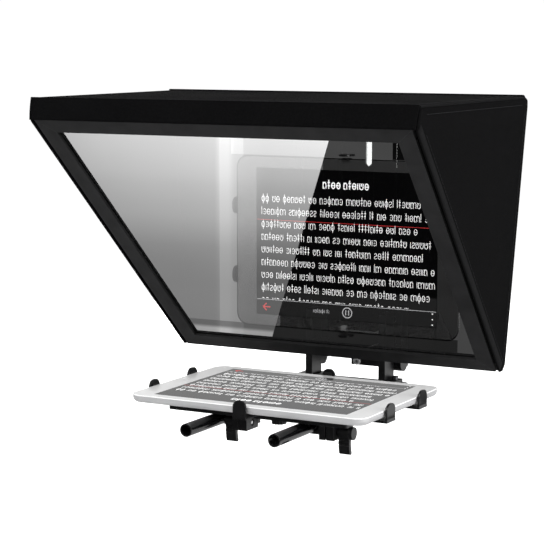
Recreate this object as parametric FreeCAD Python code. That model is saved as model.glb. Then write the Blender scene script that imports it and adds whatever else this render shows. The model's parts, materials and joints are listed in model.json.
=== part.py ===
import FreeCAD, Part
import math
import os
from FreeCAD import Placement, Rotation, Vector

# Through-glass teleprompter: a tablet on a tray under a 45 degree beam splitter with a fabric hood,
# carried on two rods that clamp into a base block, with a camera stage behind the glass.
# Laid out from the middle of the tablet's screen: +X right, +Y back to the camera, +Z up.
# save() shifts every piece, so the stored origin is the mouth of the tripod hole.
TRIPOD_HOLE = Vector(0, 123, -34)

# Tablet
TABLET_LENGTH = 240.0
TABLET_WIDTH = 169.5
TABLET_THICK = 7.5
TABLET_CORNER = 12.0
SCREEN_LENGTH = 197.1
SCREEN_WIDTH = 147.8
COVER_GLASS = 0.9
HOME_BUTTON_X = -109.2
HOME_BUTTON_RADIUS = 5.25

# Rods and base
ROD_RADIUS = 6.0
ROD_BORE = 4.7
ROD_X = 44.65
ROD_Z = -22.2
ROD_FRONT = -107.5
ROD_BACK = 145.0
BASE_HALF = 58.0
BASE_FRONT = 98.0
BASE_BACK = 148.0
BASE_TOP = -12.0
BASE_BOTTOM = TRIPOD_HOLE.z
BUSH_LENGTH = 14.0
BUSH_RADIUS = 5.0
QUARTER_INCH_TAP = 2.55
CLAMP_BOLT_X = 54.3
CLAMP_BOLT_YS = (108.0, 138.0)
FOOT_SCREW = (47.5, 139.0)
FOOT_TOP = -8.5
POST_TOP = 58.0
UPRIGHT_BACK = 165.0
UPRIGHT_SCREW_X = 41.5
UPRIGHT_SCREW_ZS = (30.0, 50.0)

# Running fit of a shaft in its hole, and the gap between pieces that slide on each other
FIT = 0.05
GAP = 0.3

# Tilt axis of the mirror, along X
TILT_Y = 134.5
TILT_Z = 20.0
TILT_SHAFT_RADIUS = 3.0

# Camera stage and riser
STAGE_HALF = 29.0
STAGE_TOP = 34.0
STAGE_BOLT_Y = 152.0
STAGE_BOLT_ZS = (14.0, 28.0)
GUIDE_FRONT = 195.0
GUIDE_BACK = 216.0
GUIDE_BOTTOM = -8.5
RISER_LOCK_Z = -4.5
RISER_PIN_X = 20.0
RISER_PIN_Y = 205.5
RISER_PIN_RADIUS = 4.0
PLATFORM_THICK = 7.0
PLATFORM_FRONT = 183.0
PLATFORM_BACK = 233.0
SLOT_HALF = 3.35
SLOT_ENDS = (206.0, 228.0)
CAMERA_SCREW_Y = 213.0
CAMERA_SCREW_RADIUS = 3.175
CAMERA_SCREW_NECK = 2.6
CAMERA_SCREW_TOP = 49.5
CAMERA_SCREW_HEAD = (24.5, 32.5)
CAMERA_SCREW_HEAD_RADIUS = 6.5

# Mirror frame: a trapezium, wider at the top, leaning 45 degrees towards the talent
MIRROR_Y = 102.4
MIRROR_Z = 15.5
MIRROR_HEIGHT = 335.0
MIRROR_HALF_BOTTOM = 167.5
MIRROR_HALF_TOP = 185.0
RAIL_BAR = 8.0
RAIL_BORDER = 16.0
RAIL_THICK = 6.3
LIP_THICK = 2.5
GLASS_THICK = 3.0
PLATE_THICK = 1.5
FLANGE_THICK = 2.5
CORNER_SCREW_REACH = 18.0
CORNER_LEG = 26.0
CLIP_REACH = 13.0
CLIP_HALF = 7.0
CLIP_PLACES_ACROSS = (-110.0, 0.0, 110.0)
CLIP_PLACES_UP = (110.0, 225.0)
LUG_SCREW_XS = (22.8, 29.8)
LUG_X = (33.2, 36.2)
LUG_EYE_RADIUS = 8.0
SCREW_INSET = 4.2

# Fabric hood: side walls that widen upwards, a narrow front fascia, a flat top and a rear sleeve
HOOD_HALF_BOTTOM = 172.0
HOOD_FLARE = 0.0748
HOOD_TOP = 272.8
HOOD_BACK = 114.0
HOOD_FASCIA_Y = -130.3
HOOD_ROUND = 9.5
CLOTH = 2.5
SLEEVE_FRONT_Y = 109.5
SLEEVE_FRONT_TOP = 262.5
SLEEVE_END_Y = 175.0
SLEEVE_END_TOP = 235.0
SLEEVE_END_HALF = 75.0
SLEEVE_END_BOTTOM = 8.0
LENS_HALF = 31.0
LENS_SLIT = 3.5
LENS_SLIT_LOW = 197.0
LENS_TOP = 225.0
FLAP_BOTTOM = 44.0
FLAP_SEAM = 0.3

# Tray that carries the tablet
TRAY_HALF = 92.0
TRAY_TOP = -11.5
BEAM_THICK = 4.3
BEAM_INNER = 20.0
BEAM_OUTER = 60.0
SPINE_HALF = 16.0
SPINE_THICK = 4.0
ARM_LOW = TRAY_TOP + GAP
ARM_THICK = 2.0
SIDE_ARM_Y = 35.0
SIDE_ARM_HALF = 9.0
END_ARM_HALF = 6.75
CLAW_THICK = 2.0
CLAW_GRIP_X = 121.5
CLAW_GRIP_Y = 86.0
LEVER_Y = -49.0
LEVER_SCREW_RADIUS = 2.5
CLAMP_BOTTOM = -30.2
CLAMP_TOP = -14.2
CLAMP_INNER = 34.0
CLAMP_OUTER = 55.0
CLAMP_RING_Y = (-34.0, -20.0)
LEVER_BLOCK_Y = (-60.0, -38.0)
LEVER_BLOCK_LEFT = (-24.0, -9.0)
LEVER_BLOCK_RIGHT = (64.5, 79.0)
GLIDE_Y = (38.0, 60.0)
LOCK_SHANK = 2.5
LOCK_KNOB_RADIUS = 7.0
KNOB_PLACES = {"left": (-62.0, 35.0), "right": (62.0, 35.0), "front": (0.0, -14.0), "back": (0.0, 40.0)}
SIDE_KEEPER_X = 84.0
END_KEEPER_Y = 54.0
TRAY_SCREWS = ((12.0, -30.0), (12.0, 30.0))
REST_PAD = (70.0, 54.0)

# Screws and their clearance holes
SCREW_RADIUS = 1.5
SCREW_HOLE = 1.6

X_AXIS = Vector(1, 0, 0)
Y_AXIS = Vector(0, 1, 0)
Z_AXIS = Vector(0, 0, 1)
SIDES = {"left": -1, "right": 1}
MIRROR_PLACEMENT = Placement(Vector(0, MIRROR_Y, MIRROR_Z), Rotation(X_AXIS, 135))
MIRROR_FLARE = (MIRROR_HALF_TOP - MIRROR_HALF_BOTTOM) / MIRROR_HEIGHT


def box(x0, x1, y0, y1, z0, z1):
    return Part.makeBox(x1 - x0, y1 - y0, z1 - z0, Vector(x0, y0, z0))


def along_x(x0, x1, y, z, radius):
    return Part.makeCylinder(radius, x1 - x0, Vector(x0, y, z), X_AXIS)


def along_y(y0, y1, x, z, radius):
    return Part.makeCylinder(radius, y1 - y0, Vector(x, y0, z), Y_AXIS)


def along_z(z0, z1, x, y, radius):
    return Part.makeCylinder(radius, z1 - z0, Vector(x, y, z0), Z_AXIS)


def slab(points, sweep):
    """Flat polygon through the points, swept along a vector."""
    return Part.Face(Part.makePolygon(points + [points[0]])).extrude(sweep)


def side_plate(outline, x0, x1):
    """Plate from an outline of (y, z) points, between two X planes."""
    return slab([Vector(x0, y, z) for y, z in outline], Vector(x1 - x0, 0, 0))


def fuse(*shapes):
    return shapes[0].fuse(list(shapes[1:])).removeSplitter()


def sided(shape, side):
    """The right-hand piece as it is, or its mirror image for the left."""
    if side > 0:
        return shape
    return shape.mirror(Vector(), X_AXIS)


def both_sides(*shapes):
    return [sided(shape, side) for shape in shapes for side in SIDES.values()]


def runs_along(edge, axis):
    if not isinstance(edge.Curve, Part.Line):
        return False
    run = edge.Vertexes[1].Point - edge.Vertexes[0].Point
    return abs(run.normalize().dot(axis)) > 0.999


def fillet(shape, radius, axis, wanted=lambda middle: True):
    """Rounds the straight edges along an axis whose middle point is wanted."""
    edges = [e for e in shape.Edges if runs_along(e, axis) and wanted(e.CenterOfMass)]
    return shape.makeFillet(radius, edges)


def grooved_knob(axis_shape, centre, axis, radius, grooves=14):
    """Cuts finger grooves along a round knob's rim."""
    start = Vector(1, 0, 0) if abs(axis.x) < 0.5 else Vector(0, 1, 0)
    cutters = []
    for step in range(grooves):
        spoke = Rotation(axis, 360.0 * step / grooves).multVec(start)
        foot = centre + spoke * (radius + 0.35) - axis * 30
        cutters.append(Part.makeCylinder(1.0, 60, foot, axis))
    return axis_shape.cut(cutters)


def save(node, *solids):
    shape = solids[0] if len(solids) == 1 else Part.makeCompound(list(solids))
    moved = shape.copy()
    moved.translate(-TRIPOD_HOLE)
    moved.exportStep("parts/" + node + ".step")


# ---- Base: rods, clamp block, uprights and camera stage ----

def make_rods():
    """Two tubes; the right one has a cable slot near its front end."""
    for name, side in SIDES.items():
        x = side * ROD_X
        tube = along_y(ROD_FRONT, ROD_BACK, x, ROD_Z, ROD_RADIUS)
        tube = tube.cut(along_y(ROD_FRONT, ROD_BACK, x, ROD_Z, ROD_BORE))
        if side > 0:
            tube = tube.cut(rod_slot(x))
        save("rod_" + name, tube)


def rod_slot(x):
    """Obround cutter that leaves the tube down and to the right."""
    slot_half_width = 2.25
    ends = (-99.75, -90.25)
    outward = Vector(1, 0, -1).normalize()
    across = Vector(1, 0, 1).normalize()
    foot = Vector(x, 0, ROD_Z)
    rounds = [Part.makeCylinder(slot_half_width, 8, foot + Y_AXIS * y, outward) for y in ends]
    corners = [foot + Y_AXIS * y + across * slot_half_width * s
               for y, s in ((ends[0], -1), (ends[0], 1), (ends[1], 1), (ends[1], -1))]
    return fuse(slab(corners, outward * 8), *rounds)


def make_base_block():
    """Block with two rod bores slit to its sides, so that its bolts can close on the rods."""
    block = box(-BASE_HALF, BASE_HALF, BASE_FRONT, BASE_BACK, BASE_BOTTOM, BASE_TOP)
    block = fillet(block, 3, Y_AXIS)
    bush_top = BASE_BOTTOM + BUSH_LENGTH
    cuts = [along_z(BASE_BOTTOM, bush_top + 0.2, 0, TRIPOD_HOLE.y, BUSH_RADIUS + FIT)]
    cuts += both_sides(
        along_y(BASE_FRONT, ROD_BACK + 0.2, ROD_X, ROD_Z, ROD_RADIUS + FIT),
        box(ROD_X, BASE_HALF, BASE_FRONT, BASE_BACK, ROD_Z - 0.7, ROD_Z + 0.7),
        along_z(-15.7, BASE_TOP, *FOOT_SCREW, SCREW_HOLE))
    for y in CLAMP_BOLT_YS:
        cuts += both_sides(along_z(BASE_BOTTOM, -13.8, CLAMP_BOLT_X, y, SCREW_HOLE),
                           along_z(BASE_BOTTOM, -30.8, CLAMP_BOLT_X, y, 3.3))
    save("base_block", block.cut(cuts))


def make_tripod_bush():
    """Brass insert tapped 1/4-20 for a tripod head."""
    bush = along_z(BASE_BOTTOM, BASE_BOTTOM + BUSH_LENGTH, 0, TRIPOD_HOLE.y, BUSH_RADIUS)
    tap = along_z(BASE_BOTTOM, BASE_BOTTOM + BUSH_LENGTH, 0, TRIPOD_HOLE.y, QUARTER_INCH_TAP)
    save("tripod_bush", bush.cut(tap))


def make_posts():
    """Front uprights with a bolted foot; the tilt shaft passes through them."""
    for name, side in SIDES.items():
        foot = fillet(box(33, 53, 122, 147, BASE_TOP, FOOT_TOP), 2, Z_AXIS)
        post = fuse(foot, box(36.5, 43.5, 124, 145, FOOT_TOP, POST_TOP))
        post = fillet(post, 3, X_AXIS, lambda middle: middle.z > POST_TOP - 0.1)
        cuts = [along_x(36, 44, TILT_Y, TILT_Z, TILT_SHAFT_RADIUS + FIT),
                along_z(BASE_TOP, FOOT_TOP, *FOOT_SCREW, SCREW_HOLE)]
        cuts += [along_y(138.8, 145, UPRIGHT_SCREW_X, z, SCREW_HOLE) for z in UPRIGHT_SCREW_ZS]
        save("post_" + name, sided(post.cut(cuts), side))


def make_uprights():
    """Rear uprights with half-round lower ends, spaced off the posts by two bosses each."""
    for name, side in SIDES.items():
        upright = fuse(box(39.5, 49.5, 148, UPRIGHT_BACK, 5.5, 60), along_x(39.5, 49.5, 156.5, 5.5, 8.5))
        upright = fillet(upright, 3, X_AXIS, lambda middle: middle.z > 59.9)
        bosses = [along_y(145.1, 149, UPRIGHT_SCREW_X, z, 3.5) for z in UPRIGHT_SCREW_ZS]
        bosses = [boss.common(box(39.5, 49.5, 145, 149, 0, 60)) for boss in bosses]
        cuts = [along_y(145, UPRIGHT_BACK, UPRIGHT_SCREW_X, z, SCREW_HOLE) for z in UPRIGHT_SCREW_ZS]
        cuts += [along_y(162, UPRIGHT_BACK, UPRIGHT_SCREW_X, z, 2.0) for z in UPRIGHT_SCREW_ZS]
        cuts += [along_x(39.5, 49.5, STAGE_BOLT_Y, z, SCREW_HOLE) for z in STAGE_BOLT_ZS]
        save("upright_" + name, sided(fuse(upright, *bosses).cut(cuts), side))


def make_base_screws():
    """Socket screws: two in the feet, four in the uprights, four in the stage, four in the clamps."""
    screws = [fuse(along_z(FOOT_TOP, FOOT_TOP + 3, *FOOT_SCREW, 3.5),
                   along_z(-15.5, FOOT_TOP, *FOOT_SCREW, SCREW_RADIUS))]
    for z in UPRIGHT_SCREW_ZS:
        screws.append(fuse(along_y(162.2, 167.2, UPRIGHT_SCREW_X, z, 1.9),
                           along_y(139, 162.2, UPRIGHT_SCREW_X, z, SCREW_RADIUS)))
    for z in STAGE_BOLT_ZS:
        screws.append(fuse(along_x(49.5, 52.3, STAGE_BOLT_Y, z, 3.2),
                           along_x(30.2, 49.5, STAGE_BOLT_Y, z, SCREW_RADIUS)))
    for y in CLAMP_BOLT_YS:
        screws.append(fuse(along_z(BASE_BOTTOM, -31, CLAMP_BOLT_X, y, 3.2),
                           along_z(-31, -14, CLAMP_BOLT_X, y, SCREW_RADIUS)))
    save("base_screws", *both_sides(*screws))


def make_camera_stage():
    """U-shaped bracket between the uprights: a front cross bar and two beams running back."""
    front = box(-STAGE_HALF, STAGE_HALF, 148, 156, 8, STAGE_TOP)
    beams = both_sides(box(17, STAGE_HALF, 155.9, 194.9, 14, STAGE_TOP))
    bosses = []
    holes = []
    for z in STAGE_BOLT_ZS:
        bosses += both_sides(along_x(28, 39.4, STAGE_BOLT_Y, z, 3.6))
        holes += both_sides(along_x(30, 39.4, STAGE_BOLT_Y, z, SCREW_HOLE))
    save("camera_stage", fuse(front, *beams, *bosses).cut(holes))


def make_guide_block():
    """Block on the beams' ends; its two bores guide the riser pins, its pocket clears the screw."""
    block = fillet(box(-28, 28, GUIDE_FRONT, GUIDE_BACK, GUIDE_BOTTOM, STAGE_TOP), 2, Z_AXIS)
    cuts = [box(-10, 10, GUIDE_FRONT + 4, GUIDE_BACK, GUIDE_BOTTOM, STAGE_TOP)]
    cuts += both_sides(
        along_z(GUIDE_BOTTOM, STAGE_TOP, RISER_PIN_X, RISER_PIN_Y, RISER_PIN_RADIUS + FIT),
        along_y(GUIDE_FRONT, RISER_PIN_Y, RISER_PIN_X, RISER_LOCK_Z, SCREW_HOLE))
    save("guide_block", block.cut(cuts))


def make_riser_lock_screws():
    """Ring-headed screws that press on the riser pins from the front."""
    head = along_y(GUIDE_FRONT - 3, GUIDE_FRONT, RISER_PIN_X, RISER_LOCK_Z, 3.7)
    head = head.cut(along_y(GUIDE_FRONT - 4, GUIDE_FRONT - 1.6, RISER_PIN_X, RISER_LOCK_Z, 1.9))
    screw = fuse(head, along_y(GUIDE_FRONT, 201.3, RISER_PIN_X, RISER_LOCK_Z, SCREW_RADIUS))
    save("riser_lock_screws", *both_sides(screw))


def make_tilt_shaft():
    """Bolt that the mirror's lugs turn on, with a thin head outside the left post."""
    shaft = fuse(along_x(-46, 47, TILT_Y, TILT_Z, TILT_SHAFT_RADIUS),
                 along_x(-46, -43.7, TILT_Y, TILT_Z, 5.5))
    save("tilt_shaft", shaft)


def make_tilt_knob():
    """Knob that tightens the tilt."""
    knob = fuse(along_x(50.5, 58, TILT_Y, TILT_Z, 7.0), along_x(47.1, 50.5, TILT_Y, TILT_Z, 4.6))
    knob = grooved_knob(knob, Vector(0, TILT_Y, TILT_Z), X_AXIS, 7.0)
    save("tilt_knob", knob)


def make_riser():
    """Slotted camera platform on two round pins."""
    bottom = STAGE_TOP + GAP
    top = bottom + PLATFORM_THICK
    platform = fillet(box(-28, 28, PLATFORM_FRONT, PLATFORM_BACK, bottom, top), 3, Z_AXIS)
    ends = [along_z(bottom, top, 0, y, SLOT_HALF) for y in SLOT_ENDS]
    slot = fuse(box(-SLOT_HALF, SLOT_HALF, *SLOT_ENDS, bottom, top), *ends)
    save("riser_platform", platform.cut(slot))
    save("riser_pins", *both_sides(along_z(-6.5, bottom, RISER_PIN_X, RISER_PIN_Y, RISER_PIN_RADIUS)))


def make_camera_screw():
    """Captive 1/4-20 screw: knurled head, a thin neck in the slot, and its washer."""
    low, high = CAMERA_SCREW_HEAD
    head = grooved_knob(along_z(low, high, 0, CAMERA_SCREW_Y, CAMERA_SCREW_HEAD_RADIUS),
                        Vector(0, CAMERA_SCREW_Y, high), Z_AXIS, CAMERA_SCREW_HEAD_RADIUS, 18)
    thread_start = STAGE_TOP + GAP + PLATFORM_THICK + 0.5
    neck = along_z(high, thread_start, 0, CAMERA_SCREW_Y, CAMERA_SCREW_NECK)
    thread = along_z(thread_start, CAMERA_SCREW_TOP, 0, CAMERA_SCREW_Y, CAMERA_SCREW_RADIUS)
    save("camera_screw", fuse(head, neck, thread))
    washer = along_z(32.8, 34.0, 0, CAMERA_SCREW_Y, 7.25)
    save("camera_screw_washer", washer.cut(along_z(32, 35, 0, CAMERA_SCREW_Y, CAMERA_SCREW_NECK + 0.1)))


# ---- Mirror frame, laid out flat: x across, y up the slope, z out of the reflecting face ----

def tilted(shape):
    moved = shape.copy()
    moved.Placement = MIRROR_PLACEMENT.multiply(moved.Placement)
    return moved


def mirror_half(up):
    return MIRROR_HALF_BOTTOM + MIRROR_FLARE * up


def outline(inset):
    """Corners of the frame's outline moved in by an inset: bottom left, then anticlockwise."""
    slant = inset * math.sqrt(1 + MIRROR_FLARE ** 2)
    low = mirror_half(inset) - slant
    high = mirror_half(MIRROR_HEIGHT - inset) - slant
    return [Vector(-low, inset, 0), Vector(low, inset, 0),
            Vector(high, MIRROR_HEIGHT - inset, 0), Vector(-high, MIRROR_HEIGHT - inset, 0)]


def sheet(inset, z0, z1):
    return slab([corner + Z_AXIS * z0 for corner in outline(inset)], Z_AXIS * (z1 - z0))


def ring(inset_outer, inset_inner, z0, z1):
    return sheet(inset_outer, z0, z1).cut(sheet(inset_inner, z0, z1))


def mitred(number, inset_outer, inset_inner, z0, z1):
    """One side of a ring, mitred at both corners; number 0 is the bottom, then anticlockwise."""
    outer = outline(inset_outer)
    inner = outline(inset_inner)
    following = (number + 1) % 4
    points = [outer[number], outer[following], inner[following], inner[number]]
    return slab([point + Z_AXIS * z0 for point in points], Z_AXIS * (z1 - z0))


def at_edge(up, inset):
    """X of a point on the right rail at a height up the slope."""
    return mirror_half(up) - inset


def frame_screw_places():
    """(x, y, outer face of the plate under the head) of each screw in the frame's back."""
    plate = -RAIL_THICK - PLATE_THICK
    flange = -RAIL_THICK - FLANGE_THICK
    top = MIRROR_HEIGHT - SCREW_INSET
    places = [(x, SCREW_INSET, plate) for x in CLIP_PLACES_ACROSS]
    places += [(x, top, plate) for x in CLIP_PLACES_ACROSS]
    for side in SIDES.values():
        places += [(side * at_edge(up, SCREW_INSET), up, plate) for up in CLIP_PLACES_UP]
        places += [(side * x, SCREW_INSET, flange) for x in LUG_SCREW_XS]
        for corner_up, along in ((SCREW_INSET, 1), (top, -1)):
            up = corner_up + along * CORNER_SCREW_REACH
            places.append((side * at_edge(up, SCREW_INSET), up, plate))
            across = mirror_half(corner_up) - SCREW_INSET - CORNER_SCREW_REACH
            places.append((side * across, corner_up, plate))
    return places


def screw_holes():
    return [along_z(-12, -3.9, x, y, 1.3) for x, y, _ in frame_screw_places()]


def make_frame_rails():
    """Four mitred L-section rails: a deep outer bar and a thin lip in front of the glass."""
    holes = screw_holes()
    for number, name in enumerate(("bottom", "right", "top", "left")):
        bar = mitred(number, 0, RAIL_BAR, -RAIL_THICK, 0)
        lip = mitred(number, RAIL_BAR, RAIL_BORDER, -LIP_THICK, 0)
        save("frame_rail_" + name, tilted(fuse(bar, lip).cut(holes)))


def make_glass():
    """Beam splitter behind the lip, on a thin gasket."""
    front = -RAIL_THICK + GLASS_THICK
    save("beam_splitter_glass", tilted(sheet(RAIL_BAR + 0.5, -RAIL_THICK, front)))
    save("glass_gasket", tilted(ring(9, 15, front, -LIP_THICK)))


def make_glass_clips():
    """Ten small plates screwed to the rails that hold the glass against the lip."""
    back = -RAIL_THICK - PLATE_THICK
    clips = [box(x - CLIP_HALF, x + CLIP_HALF, low, high, back, -RAIL_THICK)
             for x in CLIP_PLACES_ACROSS
             for low, high in ((1, CLIP_REACH), (MIRROR_HEIGHT - CLIP_REACH, MIRROR_HEIGHT - 1))]
    for up in CLIP_PLACES_UP:
        clips += both_sides(box(at_edge(up, CLIP_REACH), at_edge(up, 1.5),
                                up - CLIP_HALF, up + CLIP_HALF, back, -RAIL_THICK))
    holes = screw_holes()
    save("glass_clips", *[tilted(clip.cut(holes)) for clip in clips])


def make_corner_plates():
    """L-shaped plates that join the rails at their mitres."""
    band = ring(1, 7, -RAIL_THICK - PLATE_THICK, -RAIL_THICK).cut(screw_holes())
    plates = []
    for up in (0, MIRROR_HEIGHT - CORNER_LEG):
        half = mirror_half(up)
        corner = box(half - CORNER_LEG, half + CORNER_LEG, up, up + CORNER_LEG, -9, -6)
        plates += [band.common(piece) for piece in both_sides(corner)]
    save("corner_plates", *[tilted(plate) for plate in plates])


def make_frame_screws():
    """Small pan-head screws in the frame's back."""
    screws = [fuse(along_z(face - 1.5, face, x, y, 2.5), along_z(face, -4.2, x, y, 1.2))
              for x, y, face in frame_screw_places()]
    save("frame_screws", *[tilted(screw) for screw in screws])


def on_slope(up, out):
    """(y, z) of a point given up the mirror's slope and out of its face."""
    point = MIRROR_PLACEMENT.multVec(Vector(0, up, out))
    return (point.y, point.z)


def make_hinge_lugs():
    """Plates from the bottom rail's back to an eye on the tilt shaft."""
    back = -RAIL_THICK - FLANGE_THICK
    flange = tilted(box(20, 36.2, 0.5, 7.5, back, -RAIL_THICK).cut(screw_holes()))
    arm = side_plate([on_slope(0.5, -RAIL_THICK), (TILT_Y, TILT_Z - 7.8), (TILT_Y, TILT_Z + 7.8),
                      on_slope(7.5, back), on_slope(7.5, -RAIL_THICK)], *LUG_X)
    eye = along_x(*LUG_X, TILT_Y, TILT_Z, LUG_EYE_RADIUS)
    bore = along_x(33, 37, TILT_Y, TILT_Z, TILT_SHAFT_RADIUS + FIT)
    lugs = both_sides(fuse(flange, arm, eye).cut(bore))
    save("hinge_lugs", *lugs)


def make_hook_strips():
    """Hook-and-loop strips on the frame's side edges, which hold the hood."""
    window = box(-300, 300, 12, MIRROR_HEIGHT - 12, -10, 10)
    strips = [mitred(number, -1.2, 0, -RAIL_THICK + 0.5, -0.8).common(window) for number in (1, 3)]
    save("hook_strips", *[tilted(strip) for strip in strips])


# ---- Hood ----

def hood_half(z):
    return HOOD_HALF_BOTTOM + HOOD_FLARE * (z - MIRROR_Z)


def hood_wall(outline_yz, inset, thickness):
    """Panel that follows the hood's right side wall, at an inset from its outer face."""
    points = [Vector(hood_half(z) - inset, y, z) for y, z in outline_yz]
    return slab(points, Vector(-thickness, 0, 0))


def make_hood_sides():
    """Side walls, from the mirror's slope back to the lens sleeve."""
    top_front = on_slope(MIRROR_HEIGHT, 0)
    wall = hood_wall([(MIRROR_Y, MIRROR_Z), top_front, (HOOD_FASCIA_Y, HOOD_TOP),
                      (HOOD_BACK, HOOD_TOP), (HOOD_BACK, MIRROR_Z)], 0, CLOTH)
    wall = fillet(wall, HOOD_ROUND, X_AXIS, lambda m: m.y > HOOD_BACK - 1 and m.z > HOOD_TOP - 1)
    wall = fillet(wall, 5, X_AXIS, lambda m: m.y > HOOD_BACK - 1 and m.z < MIRROR_Z + 1)
    for name, side in SIDES.items():
        save("hood_side_" + name, sided(wall, side))


def make_hood_top():
    """Flat top with a rounded back edge."""
    half = hood_half(SLEEVE_FRONT_TOP) - CLOTH - GAP
    inner_round = HOOD_ROUND - CLOTH
    bend_y = HOOD_BACK - HOOD_ROUND
    bend_z = HOOD_TOP - HOOD_ROUND
    diagonal = math.sqrt(0.5)
    front = HOOD_FASCIA_Y + CLOTH + 0.5

    def at(y, z):
        return Vector(-half, y, z)

    edges = [
        Part.makeLine(at(front, HOOD_TOP), at(bend_y, HOOD_TOP)),
        Part.Arc(at(bend_y, HOOD_TOP),
                 at(bend_y + HOOD_ROUND * diagonal, bend_z + HOOD_ROUND * diagonal),
                 at(HOOD_BACK, bend_z)).toShape(),
        Part.makeLine(at(HOOD_BACK, bend_z), at(HOOD_BACK - CLOTH, bend_z)),
        Part.Arc(at(HOOD_BACK - CLOTH, bend_z),
                 at(bend_y + inner_round * diagonal, bend_z + inner_round * diagonal),
                 at(bend_y, HOOD_TOP - CLOTH)).toShape(),
        Part.makeLine(at(bend_y, HOOD_TOP - CLOTH), at(front, HOOD_TOP - CLOTH)),
        Part.makeLine(at(front, HOOD_TOP - CLOTH), at(front, HOOD_TOP)),
    ]
    section = Part.Face(Part.Wire(edges))
    save("hood_top", section.extrude(Vector(2 * half, 0, 0)))


def make_hood_fascia():
    """Narrow front band above the mirror; its lower edge clears the top rail."""
    low_y, low_z = on_slope(MIRROR_HEIGHT, 0)
    half = hood_half(low_z) - CLOTH - GAP
    section = [(low_y - 0.7, low_z - 0.1), (HOOD_FASCIA_Y, HOOD_TOP),
               (HOOD_FASCIA_Y + CLOTH, HOOD_TOP - 0.5), (low_y + 3.6, low_z + 5.1)]
    save("hood_fascia", side_plate(section, -half, half))


def sleeve_corners():
    """The sleeve's right wall: top front, bottom front, bottom end and top end, in one plane."""
    seam = CLOTH + 0.5
    top = Vector(hood_half(SLEEVE_FRONT_TOP) - seam, SLEEVE_FRONT_Y, SLEEVE_FRONT_TOP)
    bottom = Vector(hood_half(MIRROR_Z) - seam, SLEEVE_FRONT_Y, MIRROR_Z)
    end_top = Vector(SLEEVE_END_HALF, SLEEVE_END_Y, SLEEVE_END_TOP)
    normal = (top - bottom).cross(end_top - bottom)
    drop = normal.y * (SLEEVE_END_Y - bottom.y) + normal.z * (SLEEVE_END_BOTTOM - bottom.z)
    end_bottom = Vector(bottom.x - drop / normal.x, SLEEVE_END_Y, SLEEVE_END_BOTTOM)
    return top, bottom, end_bottom, end_top


def make_rear_sleeve():
    """Tapered sleeve from the hood to the lens panel: two walls and a sloping top."""
    top, bottom, end_bottom, end_top = sleeve_corners()
    wall_sweep = 4.0
    walls = both_sides(slab([top, bottom, end_bottom, end_top], Vector(-wall_sweep, 0, 0)))
    inset = wall_sweep + 0.5
    roof = slab([Vector(-top.x + inset, top.y, top.z), Vector(top.x - inset, top.y, top.z),
                 Vector(end_top.x - inset, end_top.y, end_top.z),
                 Vector(-end_top.x + inset, end_top.y, end_top.z)], Vector(0, 0, -CLOTH))
    save("rear_sleeve", roof, *walls)


def make_sleeve_back():
    """Lens panel at the sleeve's end, with a tall opening for the lens and the camera stage."""
    corners = sleeve_corners()
    y = SLEEVE_END_Y + GAP
    low = corners[2].x
    panel = slab([Vector(-low, y, SLEEVE_END_BOTTOM), Vector(low, y, SLEEVE_END_BOTTOM),
                  Vector(SLEEVE_END_HALF, y, SLEEVE_END_TOP),
                  Vector(-SLEEVE_END_HALF, y, SLEEVE_END_TOP)], Vector(0, CLOTH, 0))
    opening = box(-LENS_HALF, LENS_HALF, y - 1, y + CLOTH + 1, SLEEVE_END_BOTTOM - 1, LENS_TOP)
    save("sleeve_back", panel.cut(opening))


def make_lens_flaps():
    """Two flaps that meet below a short slit; each folds inwards about its rolled outer edge."""
    y = SLEEVE_END_Y + GAP
    roll = CLOTH / 2
    roll_x = LENS_HALF - GAP - roll
    top = LENS_TOP - GAP
    outline = [(roll_x, FLAP_BOTTOM), (FLAP_SEAM, FLAP_BOTTOM), (FLAP_SEAM, LENS_SLIT_LOW),
               (LENS_SLIT, LENS_SLIT_LOW + 3), (LENS_SLIT, top), (roll_x, top)]
    leaf = slab([Vector(x, y, z) for x, z in outline], Vector(0, CLOTH, 0))
    flap = fuse(leaf, along_z(FLAP_BOTTOM, top, roll_x, y + roll, roll))
    for name, side in SIDES.items():
        save("lens_flap_" + name, sided(flap, side))


# ---- Tray ----

def knob_holes():
    return [along_z(-21, -10, x, y, LOCK_SHANK + FIT) for x, y in KNOB_PLACES.values()]


def tray_screw_holes():
    return both_sides(*[along_z(-21, -10, x, y, SCREW_HOLE) for x, y in TRAY_SCREWS])


def make_tray_beams():
    """Two flat cross bars with pockets underneath for the clamps and glides."""
    bottom = TRAY_TOP - BEAM_THICK
    for name, y0, y1, seat in (("front", -BEAM_OUTER, -BEAM_INNER, CLAMP_RING_Y),
                               ("rear", BEAM_INNER, BEAM_OUTER, GLIDE_Y)):
        beam = fillet(box(-TRAY_HALF, TRAY_HALF, y0, y1, bottom, TRAY_TOP), 3, Z_AXIS)
        pocket = box(CLAMP_INNER - 0.2, CLAMP_OUTER + 0.2, seat[0] - 0.2, seat[1] + 0.2,
                     bottom, CLAMP_TOP + 0.05)
        cuts = both_sides(pocket) + knob_holes() + tray_screw_holes()
        save("tray_beam_" + name, beam.cut(cuts))


def make_tray_spine():
    """Flat bar under the beams that ties them together."""
    top = TRAY_TOP - BEAM_THICK
    spine = fillet(box(-SPINE_HALF, SPINE_HALF, -37, 60, top - SPINE_THICK, top), 3, Z_AXIS)
    save("tray_spine", spine.cut(knob_holes() + tray_screw_holes()))


def make_tray_screws():
    bottom = TRAY_TOP - BEAM_THICK - SPINE_THICK
    screws = [fuse(along_z(TRAY_TOP, TRAY_TOP + 1.7, x, y, 2.6),
                   along_z(bottom, TRAY_TOP, x, y, SCREW_RADIUS)) for x, y in TRAY_SCREWS]
    save("tray_screws", *both_sides(*screws))


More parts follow.
